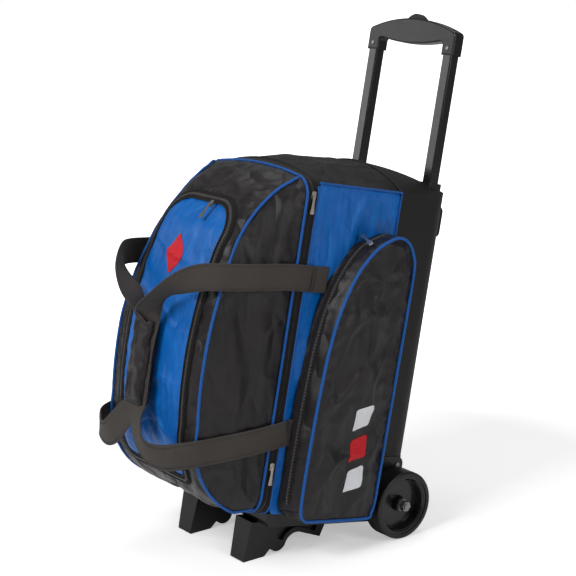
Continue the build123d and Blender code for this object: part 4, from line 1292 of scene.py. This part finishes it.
# ------------------------------------------------------------------ stage, light, camera

bpy.ops.mesh.primitive_plane_add(size=30, location=(0, 0, 0))
floor = bpy.context.object
floor.name = "studio_floor"
f = Finish("pale_floor")
ball = f.node("ShaderNodeTexGradient", gradient_type="SPHERICAL")
f.link(f.coords("Object", (0.7, 0.7, 0.7)), ball.inputs["Vector"])
glow = f.math("SUBTRACT", 1.0, f.math("MINIMUM", 1.0, f.math("MULTIPLY", ball.outputs["Fac"], 1.9)))
to_lens = f.node("ShaderNodeLightPath").outputs["Is Camera Ray"]
f.link(f.math("MULTIPLY", to_lens, f.math("ADD", 0.42, glow)), f.bsdf.inputs["Emission Strength"])
f.bsdf.inputs["Emission Color"].default_value = (1, 1, 1, 1)
grain = f.spread(f.noise(f.coords("Object", (1, 1, 1)), 3.0), 0.6, 0.7)
floor.data.materials.append(f.done(srgb(250, 250, 250), grain))

world = bpy.data.worlds.new("studio")
bpy.context.scene.world = world
world.use_nodes = True
tree = world.node_tree
soft = tree.nodes["Background"]
soft.inputs[1].default_value = 0.22
soft.inputs[0].default_value = (1, 1, 1, 1)
seen = tree.nodes.new("ShaderNodeBackground")
seen.inputs[0].default_value = (1, 1, 1, 1)
rays = tree.nodes.new("ShaderNodeLightPath")
blend = tree.nodes.new("ShaderNodeMixShader")
tree.links.new(rays.outputs["Is Camera Ray"], blend.inputs[0])
tree.links.new(soft.outputs[0], blend.inputs[1])
tree.links.new(seen.outputs[0], blend.inputs[2])
tree.links.new(blend.outputs[0], tree.nodes["World Output"].inputs[0])


def lamp(name, at, aim, size, power):
    data = bpy.data.lights.new(name, "AREA")
    data.shape = "RECTANGLE"
    data.size, data.size_y = size
    data.energy = power
    made = bpy.data.objects.new(name, data)
    bpy.context.scene.collection.objects.link(made)
    made.location = at
    made.rotation_mode = "QUATERNION"
    made.rotation_quaternion = (Vector(aim) - Vector(at)).to_track_quat("-Z", "Y")


lamp("key", (0.3, -2.6, 2.3), (0, 0, 0.35), (1.1, 1.1), 58)
lamp("side", (2.6, 0.4, 1.5), (0, 0, 0.35), (0.9, 1.6), 20)
lamp("top", (-0.4, 0.6, 2.8), (0, 0, 0.4), (1.6, 1.6), 16)
lamp("left", (-2.2, -1.6, 1.3), (0, 0, 0.35), (0.8, 1.4), 8)

lens = bpy.data.cameras.new("camera")
lens.lens = 93.75
lens.sensor_width = 36
camera = bpy.data.objects.new("camera", lens)
bpy.context.scene.collection.objects.link(camera)
camera.location = (1.8257, -1.4092, 0.9338)
camera.rotation_mode = "QUATERNION"
camera.rotation_quaternion = (Vector((0.005, 0.006, 0.396)) - camera.location).to_track_quat("-Z", "Y")
bpy.context.scene.camera = camera
bpy.context.scene.view_settings.view_transform = "Standard"
